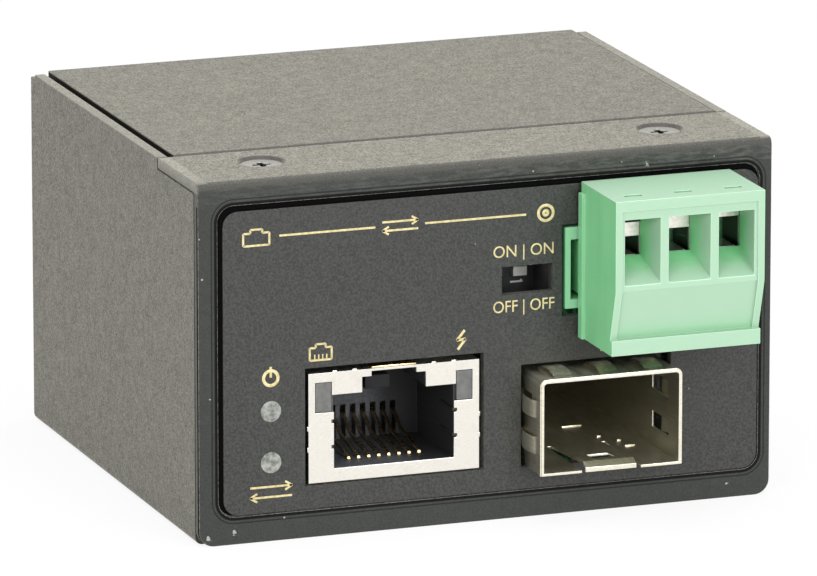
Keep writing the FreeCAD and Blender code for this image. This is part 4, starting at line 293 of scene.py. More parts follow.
@dataclass(frozen=True)
class PowderCoat(Finish):
    """Matt powder coat: sand grain over a soft orange peel, a dusty sheen, pale dust and a seam of painted shade."""

    peel: float = 1.1
    peel_depth: float = 0.02
    sheen_low: float = 0.02
    sheen_high: float = 0.68
    sheen_rough: float = 0.45
    sheen_tint: Colour = (1.0, 0.95, 0.78)
    speck_colour: Colour = (0.5, 0.49, 0.45)
    speck_scale: float = 0.45
    speck_size: float = 0.035
    # Painted shade: bands, each an axis and two places along it, darkened below a height towards near black.
    shade_bands: tuple[tuple[int, float, float], ...] = ()
    shade_top: float = 35.17
    shade_strength: float = 0.93
    painted_shade_colour: Colour = (0.004, 0.004, 0.004)
    # Each rim along a side sheet's top edge is paler: partly worn coat, partly a painted highlight.
    highlit_rims: tuple[Span, Span] = ((-29.1, -27.9), (27.97, 29.1))
    highlight_low: float = 35.2
    highlight_high: float = 35.4
    rim_highlight_colour: Colour = (0.11, 0.107, 0.092)

    def shade(self, graph: Graph) -> Socket | None:
        """Where shade is painted on the coat.

        Args:
            graph: The material's nodes.

        Returns:
            A factor of painted shade for each band, given as an axis and two places along it, or None without bands.
        """
        if not self.shade_bands:
            return None
        shade = graph.band(*self.shade_bands[0])
        for seam in self.shade_bands[1:]:
            shade = graph.most(shade, graph.band(*seam))
        return graph.product(graph.product(shade, graph.band(2, UNDER, self.shade_top)), self.shade_strength)

    def wear_and_painted_light(self, graph: Graph, paint: Socket) -> Socket:
        """Add scattered pale dust, and a paler coat on each rim that is partly worn coat and partly a painted
        highlight.

        Args:
            graph: The material's nodes.
            paint: The paint's colour.

        Returns:
            The worn paint's colour.
        """
        drift = graph.between(graph.noise(0.16, 2.0), 0.45, 0.55)
        speck = graph.product(graph.specks(self.speck_scale, self.speck_size), drift)
        paint = graph.blend(speck, paint, self.speck_colour)
        # Painted highlight and worn coat: a paler band along the side sheets' top edges.
        sides = graph.most(*(graph.band(0, *rim) for rim in self.highlit_rims))
        rim = graph.product(sides, graph.band(2, self.highlight_low, self.highlight_high))
        return graph.blend(rim, paint, self.rim_highlight_colour)

    def sheen(self, graph: Graph, grain: Socket) -> Socket:
        """How strongly dust brightens the coat at a low angle."""
        return graph.between(grain, 0.0, 1.0, self.sheen_low, self.sheen_high)

    def detail(self, graph: Graph) -> None:
        """Add the orange peel, the sheen, the dust, the worn coat, the painted light and the painted shade.

        Args:
            graph: The material's nodes.
        """
        sand = graph.noise(self.grain, 5.0, rough=0.7)
        under = graph.bump(graph.noise(self.peel, 2.0), self.peel_depth)
        graph.put("Normal", graph.bump(sand, self.grain_depth, under))
        grain = graph.between(graph.blend(0.1, sand, graph.noise(0.8, 4.0)), 0.4, 0.6)
        sheen = self.sheen(graph, grain)
        paint = self.wear_and_painted_light(graph, graph.blend(grain, self.dark, self.light))
        graph.put("Sheen Roughness", self.sheen_rough)
        graph.put("Sheen Tint", self.sheen_tint)
        # Painted shade: the shaded bands take a near-black colour and lose their sheen and specular reflection.
        shade = self.shade(graph)
        if shade is not None:
            paint = graph.blend(shade, paint, self.painted_shade_colour)
            lit = graph.between(shade, 0.0, 1.0, 1.0, 0.0)
            sheen = graph.product(sheen, lit)
            graph.put("Specular IOR Level", graph.product(lit, self.specular))
        graph.put("Sheen Weight", sheen)
        graph.put("Base Color", paint)


@dataclass(frozen=True)
class PressedPanel(PowderCoat):
    """Powder coat on the front panel: painted shade in its recess, a scuffed bend, a top painted lighter and a few
    nicks.
    """

    recess: Box = (-27.05, 27.75, 2.7, 32.95)
    recess_radius: float = 1.6
    recess_floor: Span = (-25.42, -25.1)
    recess_top: float = 33.05
    skin: Span = (-25.6, -25.42)
    lip: Span = (0.3, 0.4)
    lip_shade: float = 0.85
    crease: float = 0.62
    crease_width: Span = (0.04, 0.1)
    crease_shade: float = 0.55
    bend: Span = (33.2, 34.7)
    bend_rub: float = 0.16
    rub_from: Span = (-29.0, 20.0)
    rub_share: float = 0.35
    # Painted light: the top gets a paler paint and, further up, more sheen than the front.
    lit_top_rise: Span = (34.2, 35.1)
    lit_top_dark: Colour = (0.017, 0.0165, 0.0135)
    lit_top_light: Colour = (0.048, 0.046, 0.037)
    top_sheen_start: Span = (34.4, 35.2)
    front_sheen_share: float = 0.35
    lit_flange_end: Box = (-29.1, -28.9, 34.3, 35.4)
    nick_colour: Colour = (0.3, 0.3, 0.28)
    nicks: tuple[Triple, ...] = (
        (-28.1, 0.8, 0.24), (-25.5, 1.2, 0.2), (-28.9, 30.0, 0.1), (-28.6, 26.1, 0.11), (16.2, 33.6, 0.16),
        (-20.5, 2.2, 0.1), (4.6, 33.9, 0.08), (24.6, 1.4, 0.1), (-27.9, 14.4, 0.09),
    )

    def shade(self, graph: Graph) -> Socket:
        """Where the panel lies in shade.

        Args:
            graph: The material's nodes.

        Returns:
            A factor that is 1 on the recess's floor, and less on its lip and on the crease round it.
        """
        floor = graph.product(graph.band(1, *self.recess_floor), graph.band(2, UNDER, self.recess_top))
        away = graph.outside(self.recess, self.recess_radius)
        lip = graph.between(away, *self.lip, self.lip_shade, 0.0)
        offset = graph.calculate("ABSOLUTE", graph.calculate("SUBTRACT", away, self.crease))
        rolled = graph.most(lip, graph.between(offset, *self.crease_width, self.crease_shade, 0.0))
        return graph.most(floor, graph.product(rolled, graph.band(1, *self.skin)))

    def sheen(self, graph: Graph, grain: Socket) -> Socket:
        """The coat's sheen, stronger on the top than on the front as painted light."""
        top = graph.between(graph.ramp(2, *self.top_sheen_start), 0.0, 1.0, self.front_sheen_share, 1.0)
        return graph.product(super().sheen(graph, grain), top)

    def wear_and_painted_light(self, graph: Graph, paint: Socket) -> Socket:
        """Add the top's paler coat as painted light, the scuffed bend, the nicks, a painted highlight on the flange's
        end and the dust.

        Args:
            graph: The material's nodes.
            paint: The paint's colour.

        Returns:
            The worn paint's colour.
        """
        # Painted light: the paint turns paler towards the top.
        grain = graph.between(graph.noise(self.grain, 5.0, rough=0.7), 0.37, 0.63)
        top = graph.blend(grain, self.lit_top_dark, self.lit_top_light)
        paint = graph.blend(graph.ramp(2, *self.lit_top_rise), paint, top)
        rub = graph.between(graph.noise(1.3, 6.0, (0.4, 1.0, 2.0), 0.75), 0.45, 0.75, 0.0, self.bend_rub)
        share = graph.between(graph.ramp(0, *self.rub_from), 0.0, 1.0, self.rub_share, 1.0)
        rub = graph.product(graph.product(rub, graph.band(2, *self.bend)), share)
        paint = graph.blend(rub, paint, self.speck_colour)
        ragged = graph.between(graph.noise(4.0), 0.3, 0.7, 0.4, 1.6)
        for x, z, radius in self.nicks:
            away = graph.shift("DISTANCE", graph.spread(), (x, FACE, z)).outputs["Value"]
            inside = graph.between(graph.product(away, ragged), radius * 0.8, radius, 1.0, 0.0)
            paint = graph.blend(inside, paint, self.nick_colour)
        # Painted highlight on the flange's left end.
        end = graph.product(graph.band(0, *self.lit_flange_end[:2]), graph.band(2, *self.lit_flange_end[2:]))
        return super().wear_and_painted_light(graph, graph.blend(end, paint, self.rim_highlight_colour))


@dataclass(frozen=True)
class PrintedFilm(Finish):
    """Satin film: an even fine texture with a few grains of dust."""

    dust_colour: Colour = (0.38, 0.38, 0.35)

    def detail(self, graph: Graph) -> None:
        """Add fine embossing and dust.

        Args:
            graph: The material's nodes.
        """
        emboss = graph.noise(self.grain, 6.0, rough=0.7)
        graph.put("Normal", graph.bump(emboss, self.grain_depth))
        film = graph.blend(graph.between(emboss, 0.4, 0.6), self.dark, self.light)
        dust = graph.specks(0.34, 0.032)
        drift = graph.between(graph.noise(0.1, 1.0), 0.42, 0.52)
        graph.put("Base Color", graph.blend(graph.product(dust, drift), film, self.dust_colour))


@dataclass(frozen=True)
class SheetMetal(Finish):
    """Plated or rolled sheet: long fine scratches and small stains."""

    metallic: float = 1.0
    scratch: float = 2.6
    stain: Colour = (0.4, 0.37, 0.3)
    stain_share: float = 0.35

    def detail(self, graph: Graph) -> None:
        """Add rolling scratches and stains.

        Args:
            graph: The material's nodes.
        """
        scratches = graph.noise(self.scratch, 5.0, (1.0, 0.12, 6.0), 0.6)
        fine = graph.noise(self.grain, 2.0)
        graph.put("Normal", graph.bump(scratches, self.grain_depth, graph.bump(fine, self.grain_depth / 2)))
        tone = graph.between(scratches, 0.3, 0.7)
        metal = graph.blend(tone, self.dark, self.light)
        stains = graph.between(graph.noise(0.7, 6.0), 0.56, 0.74, 0.0, self.stain_share)
        graph.put("Base Color", graph.blend(stains, metal, self.stain))
        graph.put("Roughness", graph.between(scratches, 0.3, 0.7, self.rough_low, self.rough_high))


@dataclass(frozen=True)
class Receding(SheetMetal):
    """A surface that is bright at its open end, with painted shade where it runs back into the housing."""

    far_shade: Colour = (0.46, 0.35, 0.2)
    fade: Span = (-21.6, -20.6)
    axis: int = 1

    def detail(self, graph: Graph) -> None:
        """Add the scratches and the painted shade along its axis.

        Args:
            graph: The material's nodes.
        """
        super().detail(graph)
        streak = graph.between(graph.noise(3.0), 0.4, 0.6)
        near = graph.blend(streak, self.dark, self.light)
        # Painted shade: the colour darkens along the axis into the housing.
        graph.put("Base Color", graph.blend(graph.ramp(self.axis, *self.fade), near, self.far_shade))


@dataclass(frozen=True)
class ClearPart(Finish):
    """A translucent moulded piece, milky inside."""

    transmission: float = 0.5
    refraction: float = 1.5

    def detail(self, graph: Graph) -> None:
        """Let light through."""
        graph.put("Transmission Weight", self.transmission)
        graph.put("IOR", self.refraction)


@dataclass(frozen=True)
class GreenNylon(Finish):
    """Moulded polyamide: slightly waxy, with soft flow marks, and painted light that pales its front and top."""

    wax: float = 0.12
    wax_depth: float = 0.4
    # Painted light: a paler green towards the front and on the top; painted shade: a darker green in the slot.
    pale: Colour = (0.3, 0.475, 0.33)
    lit_front_span: Span = (-31.8, -33.8)
    lit_top_span: Span = (32.42, 32.56)
    sides: Span = (9.45, 24.45)
    slot: Box = (-33.22, -32.58, 32.0, 32.56)
    slot_shade_colour: Colour = (0.06, 0.28, 0.11)

    def detail(self, graph: Graph) -> None:
        """Add the waxy depth, the flow marks, the painted light on the front and top and the painted shade in the
        slot.

        Args:
            graph: The material's nodes.
        """
        graph.put("Subsurface Weight", self.wax)
        graph.put("Subsurface Scale", self.wax_depth * MM)
        graph.put("Subsurface Radius", graph.node("ShaderNodeCombineXYZ", {0: 0.6, 1: 1.0, 2: 0.7}).outputs[0])
        flow = graph.noise(0.35, stretch=(1.0, 1.0, 0.3))
        fine = graph.noise(self.grain, 4.0)
        graph.put("Normal", graph.bump(fine, self.grain_depth, graph.bump(flow, 0.02)))
        body = graph.blend(graph.between(flow, 0.3, 0.7), self.dark, self.light)
        between_sides = graph.band(0, *self.sides)
        # Painted light towards the front and on the top, and painted shade in the slot.
        front = graph.product(graph.ramp(1, *self.lit_front_span), between_sides)
        lit_share = graph.most(front, graph.ramp(2, *self.lit_top_span))
        slot = graph.product(graph.band(1, *self.slot[:2]), graph.band(2, *self.slot[2:]))
        paint = graph.blend(lit_share, body, self.pale)
        graph.put("Base Color", graph.blend(graph.product(slot, between_sides), paint, self.slot_shade_colour))


@dataclass(frozen=True)
class SolderMask(Finish):
    """Green mask over copper tracks that run in two directions."""

    track_colour: Colour = (0.05, 0.22, 0.1)
    track_scale: float = 0.45
    track_turns: float = 9.0

    def detail(self, graph: Graph) -> None:
        """Add raised tracks under the mask.

        Args:
            graph: The material's nodes.
        """
        inputs = {"Vector": graph.spread(), "Scale": self.track_scale, "Distortion": self.track_turns, "Detail": 1.0}
        tracks = graph.between(graph.node("ShaderNodeTexWave", inputs).outputs[1], 0.62, 0.68)
        graph.put("Base Color", graph.blend(tracks, self.light, self.track_colour))
        graph.put("Normal", graph.bump(tracks, 0.02))


FINISHES: dict[Slot, Finish] = {
    Slot.CASE: PowderCoat(
        "powder_coat_black", (0.016, 0.0155, 0.0125), (0.048, 0.046, 0.037), 0.5, 0.68, grain=6.5, grain_depth=0.014
    ),
    Slot.COVER_SCREW: PowderCoat(
        "screw_black_zinc", (0.16, 0.157, 0.145), (0.3, 0.295, 0.275), 0.3, 0.45, grain=6.0, grain_depth=0.004,
        metallic=0.4, peel_depth=0.004, speck_size=0.01, sheen_high=0.3,
    ),
    Slot.LABEL: PrintedFilm(
        "label_film_satin", (0.0095, 0.01, 0.009), (0.039, 0.04, 0.036), 0.42, 0.58, grain=4.5, grain_depth=0.008
    ),
    Slot.ZINC: SheetMetal("bright_zinc", (0.55, 0.56, 0.55), (0.7, 0.7, 0.68), 0.25, 0.42),
    Slot.BOARD: SolderMask("solder_mask_green", (0.006, 0.04, 0.018), (0.01, 0.055, 0.024), 0.25, 0.35),
    Slot.NICKEL: SheetMetal(
        "nickel_plate", (0.74, 0.71, 0.64), (0.84, 0.81, 0.75), 0.26, 0.36, grain_depth=0.001,
        stain=(0.6, 0.57, 0.5), stain_share=0.25,
    ),
    Slot.NYLON: Finish("moulded_black", (0.022, 0.022, 0.024), (0.04, 0.04, 0.042), 0.34, 0.48, cloud=0.8),
    Slot.GOLD: Receding(
        "gold_flash", (0.85, 0.66, 0.32), (1.0, 0.85, 0.5), 0.16, 0.3, stain_share=0.1,
        grain_depth=0.001, fade=BEYOND,
    ),
    Slot.TIN: SheetMetal("tin_plate", (0.66, 0.66, 0.64), (0.82, 0.82, 0.8), 0.28, 0.42),
    Slot.PIPE: ClearPart(
        "light_pipe_milky", (0.11, 0.11, 0.105), (0.16, 0.16, 0.155), 0.35, 0.5, cloud=1.5, transmission=0.15
    ),
    Slot.LAMP: ClearPart("lamp_epoxy", (0.78, 0.82, 0.8), (0.9, 0.93, 0.9), 0.05, 0.12, transmission=0.85),
    Slot.SLIDER: Finish("moulded_white", (0.8, 0.8, 0.74), (0.93, 0.92, 0.87), 0.3, 0.4, cloud=1.5),
    Slot.TERMINAL: GreenNylon(
        "green_polyamide", (0.19, 0.55, 0.25), (0.23, 0.61, 0.3), 0.36, 0.5, grain=5.0, grain_depth=0.004,
        specular=0.8,
    ),
    Slot.CLAMP_SCREW: SheetMetal("zinc_screw", (0.5, 0.5, 0.48), (0.66, 0.66, 0.63), 0.28, 0.45),
    Slot.CERAMIC: Finish("fired_ceramic", (0.4, 0.27, 0.17), (0.6, 0.46, 0.33), 0.5, 0.7, cloud=2.0),
    Slot.FUSE: Finish("fuse_brown", (0.12, 0.05, 0.03), (0.22, 0.1, 0.055), 0.3, 0.45),
    Slot.SLEEVE: Finish("shrink_sleeve", (0.02, 0.025, 0.05), (0.04, 0.05, 0.09), 0.15, 0.28, grain_depth=0.002),
    Slot.FERRITE: Finish("sintered_ferrite", (0.05, 0.05, 0.055), (0.1, 0.1, 0.105), 0.55, 0.75, grain=5.0),
    Slot.TAPE: Finish("winding_tape", (0.6, 0.43, 0.07), (0.75, 0.58, 0.12), 0.2, 0.35, grain_depth=0.006),
}
# Painted shade in the gap behind the front's flange and on the cover's side edges.
COVER = PowderCoat(
    "powder_coat_cover", (0.016, 0.0155, 0.0125), (0.048, 0.046, 0.037), 0.5, 0.68, grain=6.5, grain_depth=0.014,
    shade_bands=((1, -13.75, -12.95), (0, -27.3, -27.12), (0, 27.88, 28.0)), highlight_low=FAR,
)
# Painted shade and light: the front's paint is darker than the case's, its top turns paler again and has more sheen.
PANEL = PressedPanel(
    "powder_coat_panel", (0.007, 0.0085, 0.007), (0.021, 0.025, 0.02), 0.5, 0.68, grain=6.5, grain_depth=0.014,
    sheen_high=0.85,
)
# Paler coat on the rounded edges: partly worn coat, partly a painted highlight.
COAT_EDGE = PowderCoat(
    "powder_coat_worn_highlit_edge", (0.024, 0.0235, 0.021), (0.12, 0.117, 0.1), 0.4, 0.55, grain=3.5, grain_depth=0.01
)
# Painted highlight: a paler green on the plug's rounded edges.
NYLON_EDGE = GreenNylon(
    "green_polyamide_highlit_rim", (0.3, 0.5, 0.34), (0.36, 0.56, 0.4), 0.3, 0.42, grain=5.0, grain_depth=0.003,
    specular=0.9, pale=(0.38, 0.56, 0.41),
)
# Painted light: the header is paler towards its front.
SOCKET = GreenNylon(
    "green_polyamide_socket", (0.15, 0.46, 0.22), (0.19, 0.52, 0.26), 0.36, 0.5, grain=5.0, grain_depth=0.004,
    specular=0.7, pale=(0.24, 0.52, 0.3), lit_front_span=(-24.6, -25.4), lit_top_span=BEYOND, sides=(8.0, 25.9),
)
CAGE = SheetMetal(
    "nickel_silver", (0.66, 0.63, 0.5), (0.86, 0.82, 0.68), 0.3, 0.45, grain_depth=0.0015,
    stain=(0.42, 0.39, 0.27), stain_share=0.2,
)
# Painted highlight: brighter metal on the rounded edges of the cage and its collar.
HIGHLIT_EDGE = SheetMetal(
    "nickel_silver_highlit_edge", (0.86, 0.83, 0.72), (0.96, 0.93, 0.83), 0.22, 0.34, grain_depth=0.001,
    stain_share=0.1,
)
# Painted shade on the contacts where they run back into the jack.
WIRE = Receding(
    "gold_wire", (0.85, 0.62, 0.28), (1.0, 0.85, 0.5), 0.2, 0.32, stain_share=0.1, grain_depth=0.001
)
# Painted shade on the clamps inside the plug.
CLAMP = Receding(
    "clamp_nickel", (0.74, 0.71, 0.64), (0.86, 0.83, 0.77), 0.26, 0.36, stain_share=0.1,
    grain_depth=0.001, far_shade=(0.045, 0.04, 0.03), fade=(-30.95, -30.6),
)
# Painted shade towards the jack's right wall.
COMB = Receding(
    "moulded_grey_black", (0.05, 0.054, 0.06), (0.085, 0.09, 0.1), 0.4, 0.55, specular=0.4, grain_depth=0.002,
    metallic=0.0, stain_share=0.0, far_shade=(0.018, 0.018, 0.02), fade=(-8.6, -6.4), axis=0,
)
# Painted shade: near-black spring leaves on the socket's right wall.
DARK_LEAF = SheetMetal(
    "painted_shade_spring", (0.02, 0.017, 0.012), (0.05, 0.04, 0.028), 0.4, 0.55, metallic=0.6, grain_depth=0.001,
    stain_share=0.0,
)
# Painted shade: a dark brass plate on the socket's right wall.
SHADED_PLATE = SheetMetal(
    "painted_shade_brass", (0.16, 0.13, 0.07), (0.27, 0.22, 0.12), 0.35, 0.5, grain_depth=0.001, stain_share=0.2
)
# Painted shade on the screw heads below their top face, in the drive recess.
TOP_SCREW = PowderCoat(
    "screw_black_zinc_top", (0.17, 0.167, 0.15), (0.33, 0.325, 0.3), 0.3, 0.45, grain=6.0, grain_depth=0.004,
    metallic=0.4, peel_depth=0.004, speck_size=0.01, sheen_high=0.3, shade_bands=((1, -FAR, FAR),), shade_top=34.925,
)
# Painted shade: a deep black for the latch's notch.
SHADE = Finish("painted_shade_black", (0.004, 0.004, 0.005), (0.01, 0.01, 0.011), 0.5, 0.65, specular=0.2)
CHALK = Finish(
    "white_mark", (0.75, 0.75, 0.72), (0.92, 0.92, 0.9), 0.4, 0.55, cloud=3.0, grain=10.0, grain_depth=0.002
)
INK = Finish("gold_ink", (0.45, 0.37, 0.16), (0.64, 0.55, 0.3), 0.4, 0.6, cloud=3.0, grain=12.0, grain_depth=0.003)
LENS = ClearPart(
    "lamp_window", (0.13, 0.14, 0.12), (0.36, 0.37, 0.335), 0.4, 0.6, cloud=2.4, grain=5.0, transmission=0.15
)


@dataclass
class Palette:
    """The materials that have been made, one for each finish."""

    made: dict[str, bpy.types.Material] = field(default_factory=dict)

    def of(self, finish: Finish) -> bpy.types.Material:
        """The material of a finish, made the first time it is asked for."""
        if finish.name not in self.made:
            self.made[finish.name] = finish.make()
        return self.made[finish.name]


PALETTE = Palette()


# --- Bench work ---------------------------------------------------------------------------------------


def deselect_all() -> None:
    """Clear the selection, because operators act on all that is selected."""
    bpy.ops.object.select_all(action="DESELECT")


def pick(piece: Piece) -> None:
    """Select one object and make it active.

    Args:
        piece: The object.
    """
    deselect_all()
    piece.select_set(True)
    bpy.context.view_layer.objects.active = piece


def apply_place(piece: Piece) -> None:
    """Move an object's place into its mesh, so that it sits at the origin, unturned and unscaled."""
    pick(piece)
    bpy.ops.object.transform_apply(location=True, rotation=True, scale=True)


def add_modifier(piece: Piece, kind: str, **settings: object) -> None:
    """Add a modifier and apply it.

    Args:
        piece: The object.
        kind: The modifier's type.
        settings: Its own properties.
    """
    pick(piece)
    modifier = piece.modifiers.new(kind.lower(), kind)
    for key, value in settings.items():
        setattr(modifier, key, value)
    bpy.ops.object.modifier_apply(modifier=modifier.name)


def soften(piece: Piece, width: float, segments: int = 2, rim: int = -1) -> None:
    """Round a piece's sharp edges and shade it smoothly.

    Args:
        piece: The object to finish.
        width: Width of the rounding, in millimetres.
        segments: Faces across the rounding.
        rim: Material index of the rounding, or -1 for the material beside it.
    """
    add_modifier(
        piece, "BEVEL", width=width * MM, segments=segments, limit_method="ANGLE", angle_limit=BEVEL_ANGLE,
        use_clamp_overlap=True, harden_normals=False, material=rim,
    )
    pick(piece)
    bpy.ops.object.shade_smooth_by_angle(angle=SMOOTH_ANGLE)
    add_modifier(piece, "WEIGHTED_NORMAL", weight=90, keep_sharp=True)


def join(pieces: list[Piece], name: str) -> Piece:
    """Join objects into one.

    Args:
        pieces: The objects, of which the first one takes up the rest.
        name: The new name.

    Returns:
        The joined object.
    """
    pick(pieces[0])
    for piece in pieces[1:]:
        piece.select_set(True)
    bpy.ops.object.join()
    joined = bpy.context.view_layer.objects.active
    joined.name = joined.data.name = name
    return joined


def coat(piece: Piece, *finishes: Finish) -> None:
    """Give a piece these finishes, in this order."""
    piece.data.materials.clear()
    for finish in finishes:
        piece.data.materials.append(PALETTE.of(finish))


def finish_piece(piece: Piece, slot: Slot, body: str, finish: Finish | None = None) -> None:
    """Give a new piece its body, and the slot's or its own finish unless it has a material, and report it.

    Args:
        piece: The object.
        slot: Its material slot.
        body: The body it rides on.
        finish: Its finish, where it isn't the slot's own.
    """
    if not piece.data.materials:
        coat(piece, finish or FINISHES[slot])
    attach(piece, body)
    LOG.info("%s rides on %s", piece.name, body)


def trim(
    pieces: list[Piece], name: str, slot: Slot, body: str, width: float, finish: Finish | None = None,
    segments: int = 2,
) -> None:
    """Make one rounded and finished piece of small new shapes.

    Args:
        pieces: The shapes.
        name: The piece's name.
        slot: Its material slot.
        body: The body it rides on.
        width: Width of its rounded edges, in millimetres.
        finish: Its finish, where it isn't the slot's own.
        segments: Faces across each rounded edge.
    """
    piece = join(pieces, name) if len(pieces) > 1 else pieces[0]
    piece.name = piece.data.name = name
    soften(piece, width, segments)
    finish_piece(piece, slot, body, finish)


def copy_of(node: str, name: str) -> Piece:
    """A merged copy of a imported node's mesh, with flat faces joined up.

    Args:
        node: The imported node's name.
        name: The copy's name.

    Returns:
        The copy.
    """
    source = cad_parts[node]
    piece = source.copy()
    piece.data = source.data.copy()
    piece.name = piece.data.name = name
    for key in list(piece.keys()):
        del piece[key]
    piece.parent = None
    bpy.context.scene.collection.objects.link(piece)
    pick(piece)
    bpy.ops.object.mode_set(mode="EDIT")
    bpy.ops.mesh.customdata_custom_splitnormals_clear()
    bpy.ops.mesh.select_all(action="SELECT")
    bpy.ops.mesh.remove_doubles(threshold=MERGE * MM)
    bpy.ops.mesh.dissolve_limited(angle_limit=FLAT_ANGLE)
    bpy.ops.object.mode_set(mode="OBJECT")
    return piece


def dress(
    node: str, name: str, slot: Slot, body: str, width: float, segments: int = 2, finishes: tuple[Finish, ...] = ()
) -> None:
    """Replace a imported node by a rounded, finely shaded copy.

    Args:
        node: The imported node's name.
        name: The new piece's name.
        slot: The material slot.
        body: The body it rides on.
        width: Width of its rounded edges, in millimetres.
        segments: Faces across each rounded edge.
        finishes: The surface's finish and the edges' finish, where they aren't the slot's own.
    """
    piece = copy_of(node, name)
    coat(piece, *(finishes or (FINISHES[slot],)))
    soften(piece, width, segments, rim=1 if len(finishes) > 1 else -1)
    finish_piece(piece, slot, body)
    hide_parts(node)


def paint_node(node: str, slot: Slot) -> None:
    """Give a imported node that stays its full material."""
    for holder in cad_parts[node].material_slots:
        holder.material = PALETTE.of(FINISHES[slot])


def cube(place: Matrix) -> Piece:
    """A unit cube under a transform.

    Args:
        place: Its place, turn and sizes, in metres.

    Returns:
        The cube, at the origin.
    """
    deselect_all()
    bpy.ops.mesh.primitive_cube_add(size=1.0)
    piece = bpy.context.active_object
    piece.matrix_world = place
    apply_place(piece)
    return piece


def bar(start: Span, end: Span, width: float, y: float, height: float) -> Piece:
    """A flat printed bar between two points of the front.

    Args:
        start: X and Z of one end, in millimetres.
        end: X and Z of the other end, in millimetres.
        width: Its width, in millimetres.
        y: The front's plane, in millimetres.
        height: Thickness of the ink, in millimetres.

    Returns:
        The bar, at the origin.
    """
    run = Vector((end[0] - start[0], 0.0, end[1] - start[1]))
    middle = Vector((start[0] + end[0], 0.0, start[1] + end[1])) / 2
    turn = Matrix.Rotation(-math.atan2(run.z, run.x), 4, "Y")
    size = Matrix.Diagonal((run.length * MM, height * MM, width * MM, 1.0))
    return cube(Matrix.Translation(Vector((middle.x, y, middle.z)) * MM) @ turn @ size)


def block(middle: Triple, size: Triple) -> Piece:
    """A block of a size about its middle, in millimetres, to be rounded afterwards."""
    sides = Matrix.Diagonal((*(part * MM for part in size), 1.0))
    return cube(Matrix.Translation(Vector(middle) * MM) @ sides)


def roll(middle: Triple, radius: float, length: float) -> Piece:
    """A short roll along X with rounded ends.

    Args:
        middle: Its middle, in millimetres.
        radius: Its radius, in millimetres.
        length: Its length, in millimetres.

    Returns:
        The roll, at the origin.
    """
    deselect_all()
    bpy.ops.mesh.primitive_cylinder_add(vertices=20, radius=radius * MM, depth=length * MM)
    piece = bpy.context.active_object
    piece.matrix_world = Matrix.Translation(Vector(middle) * MM) @ Matrix.Rotation(math.pi / 2, 4, "Y")
    apply_place(piece)
    soften(piece, radius * 0.6, 3)
    return piece


def ring(x: float, z: float, radius: float, width: float, y: float, height: float) -> Piece:
    """A flat printed ring.

    Args:
        x: Its middle, in millimetres.
        z: Its middle's height, in millimetres.
        radius: Radius of its middle line, in millimetres.
        width: Width of the line, in millimetres.
        y: The front's plane, in millimetres.
        height: Thickness of the ink, in millimetres.

    Returns:
        The ring, at the origin.
    """
    deselect_all()
    bpy.ops.mesh.primitive_torus_add(
        major_segments=40, minor_segments=4, major_radius=radius * MM, minor_radius=width / 2 * MM * math.sqrt(2),
    )
    piece = bpy.context.active_object
    turn = Matrix.Rotation(math.pi / 2, 4, "X")
    flat = Matrix.Diagonal((1.0, 1.0, height / width, 1.0))
    piece.matrix_world = Matrix.Translation(Vector((x, y, z)) * MM) @ turn @ flat
    apply_place(piece)
    return piece


def lettering(text: str, x: float, z: float, width: float, cap: float, y: float, height: float) -> Piece:
    """Printed characters as a thin mesh.

    Args:
        text: The characters.
        x: Left end, in millimetres.
        z: Base line, in millimetres.
        width: Width of the line, in millimetres.
        cap: Height of the characters, in millimetres.
        y: The front's plane, in millimetres.
        height: Thickness of the ink, in millimetres.

    Returns:
        The mesh object, at the origin.
    """
    deselect_all()
    bpy.ops.object.text_add()
    piece = bpy.context.active_object
    piece.data.body = text
    piece.data.extrude = 0.5
    piece.data.resolution_u = 6
    pick(piece)
    bpy.ops.object.convert(target="MESH")
    piece = bpy.context.active_object
    xs = [vertex.co.x for vertex in piece.data.vertices]
    ys = [vertex.co.y for vertex in piece.data.vertices]
    across, up = max(xs) - min(xs), max(ys) - min(ys)
    scale = Matrix.Diagonal((width / across * MM, cap / up * MM, height * MM, 1.0))
    start = Matrix.Translation(Vector((-min(xs), -min(ys), 0.0)))
    turn = Matrix.Rotation(math.pi / 2, 4, "X")
    piece.matrix_world = Matrix.Translation(Vector((x, y, z)) * MM) @ turn @ scale @ start
    apply_place(piece)
    return piece


# --- Sub-assemblies -----------------------------------------------------------------------------------


@dataclass
class Enclosure:
    """Folded case, its cover and its fasteners."""

    body: str = "chassis"
    sheet_edge: float = 0.12
    cover_edge: float = 0.05
    screw_edge: float = 0.09

    def build(self) -> None:
        """Dress the sheets and the screws."""
        for node, name, finish, edge in (
            ("base_shell", "case_shell", FINISHES[Slot.CASE], self.sheet_edge),
            ("front_panel", "case_front", PANEL, self.sheet_edge),
            ("top_cover", "case_cover", COVER, self.cover_edge),
        ):
            dress(node, name, Slot.CASE, self.body, edge, 3, (finish, COAT_EDGE))
        for node, name, slot, finishes in (
            ("flange_screws", "cover_screws_front", Slot.COVER_SCREW, (TOP_SCREW,)),
            ("rear_screws", "cover_screws_back", Slot.COVER_SCREW, ()),
            ("clip_nuts", "rail_clip_nuts", Slot.ZINC, ()),
            ("standoffs", "board_standoffs", Slot.ZINC, ()),
        ):
            dress(node, name, slot, self.body, self.screw_edge, 2, finishes)
        for node in ("lip_nuts", "board_spacers", "board_screws"):
            paint_node(node, Slot.ZINC)


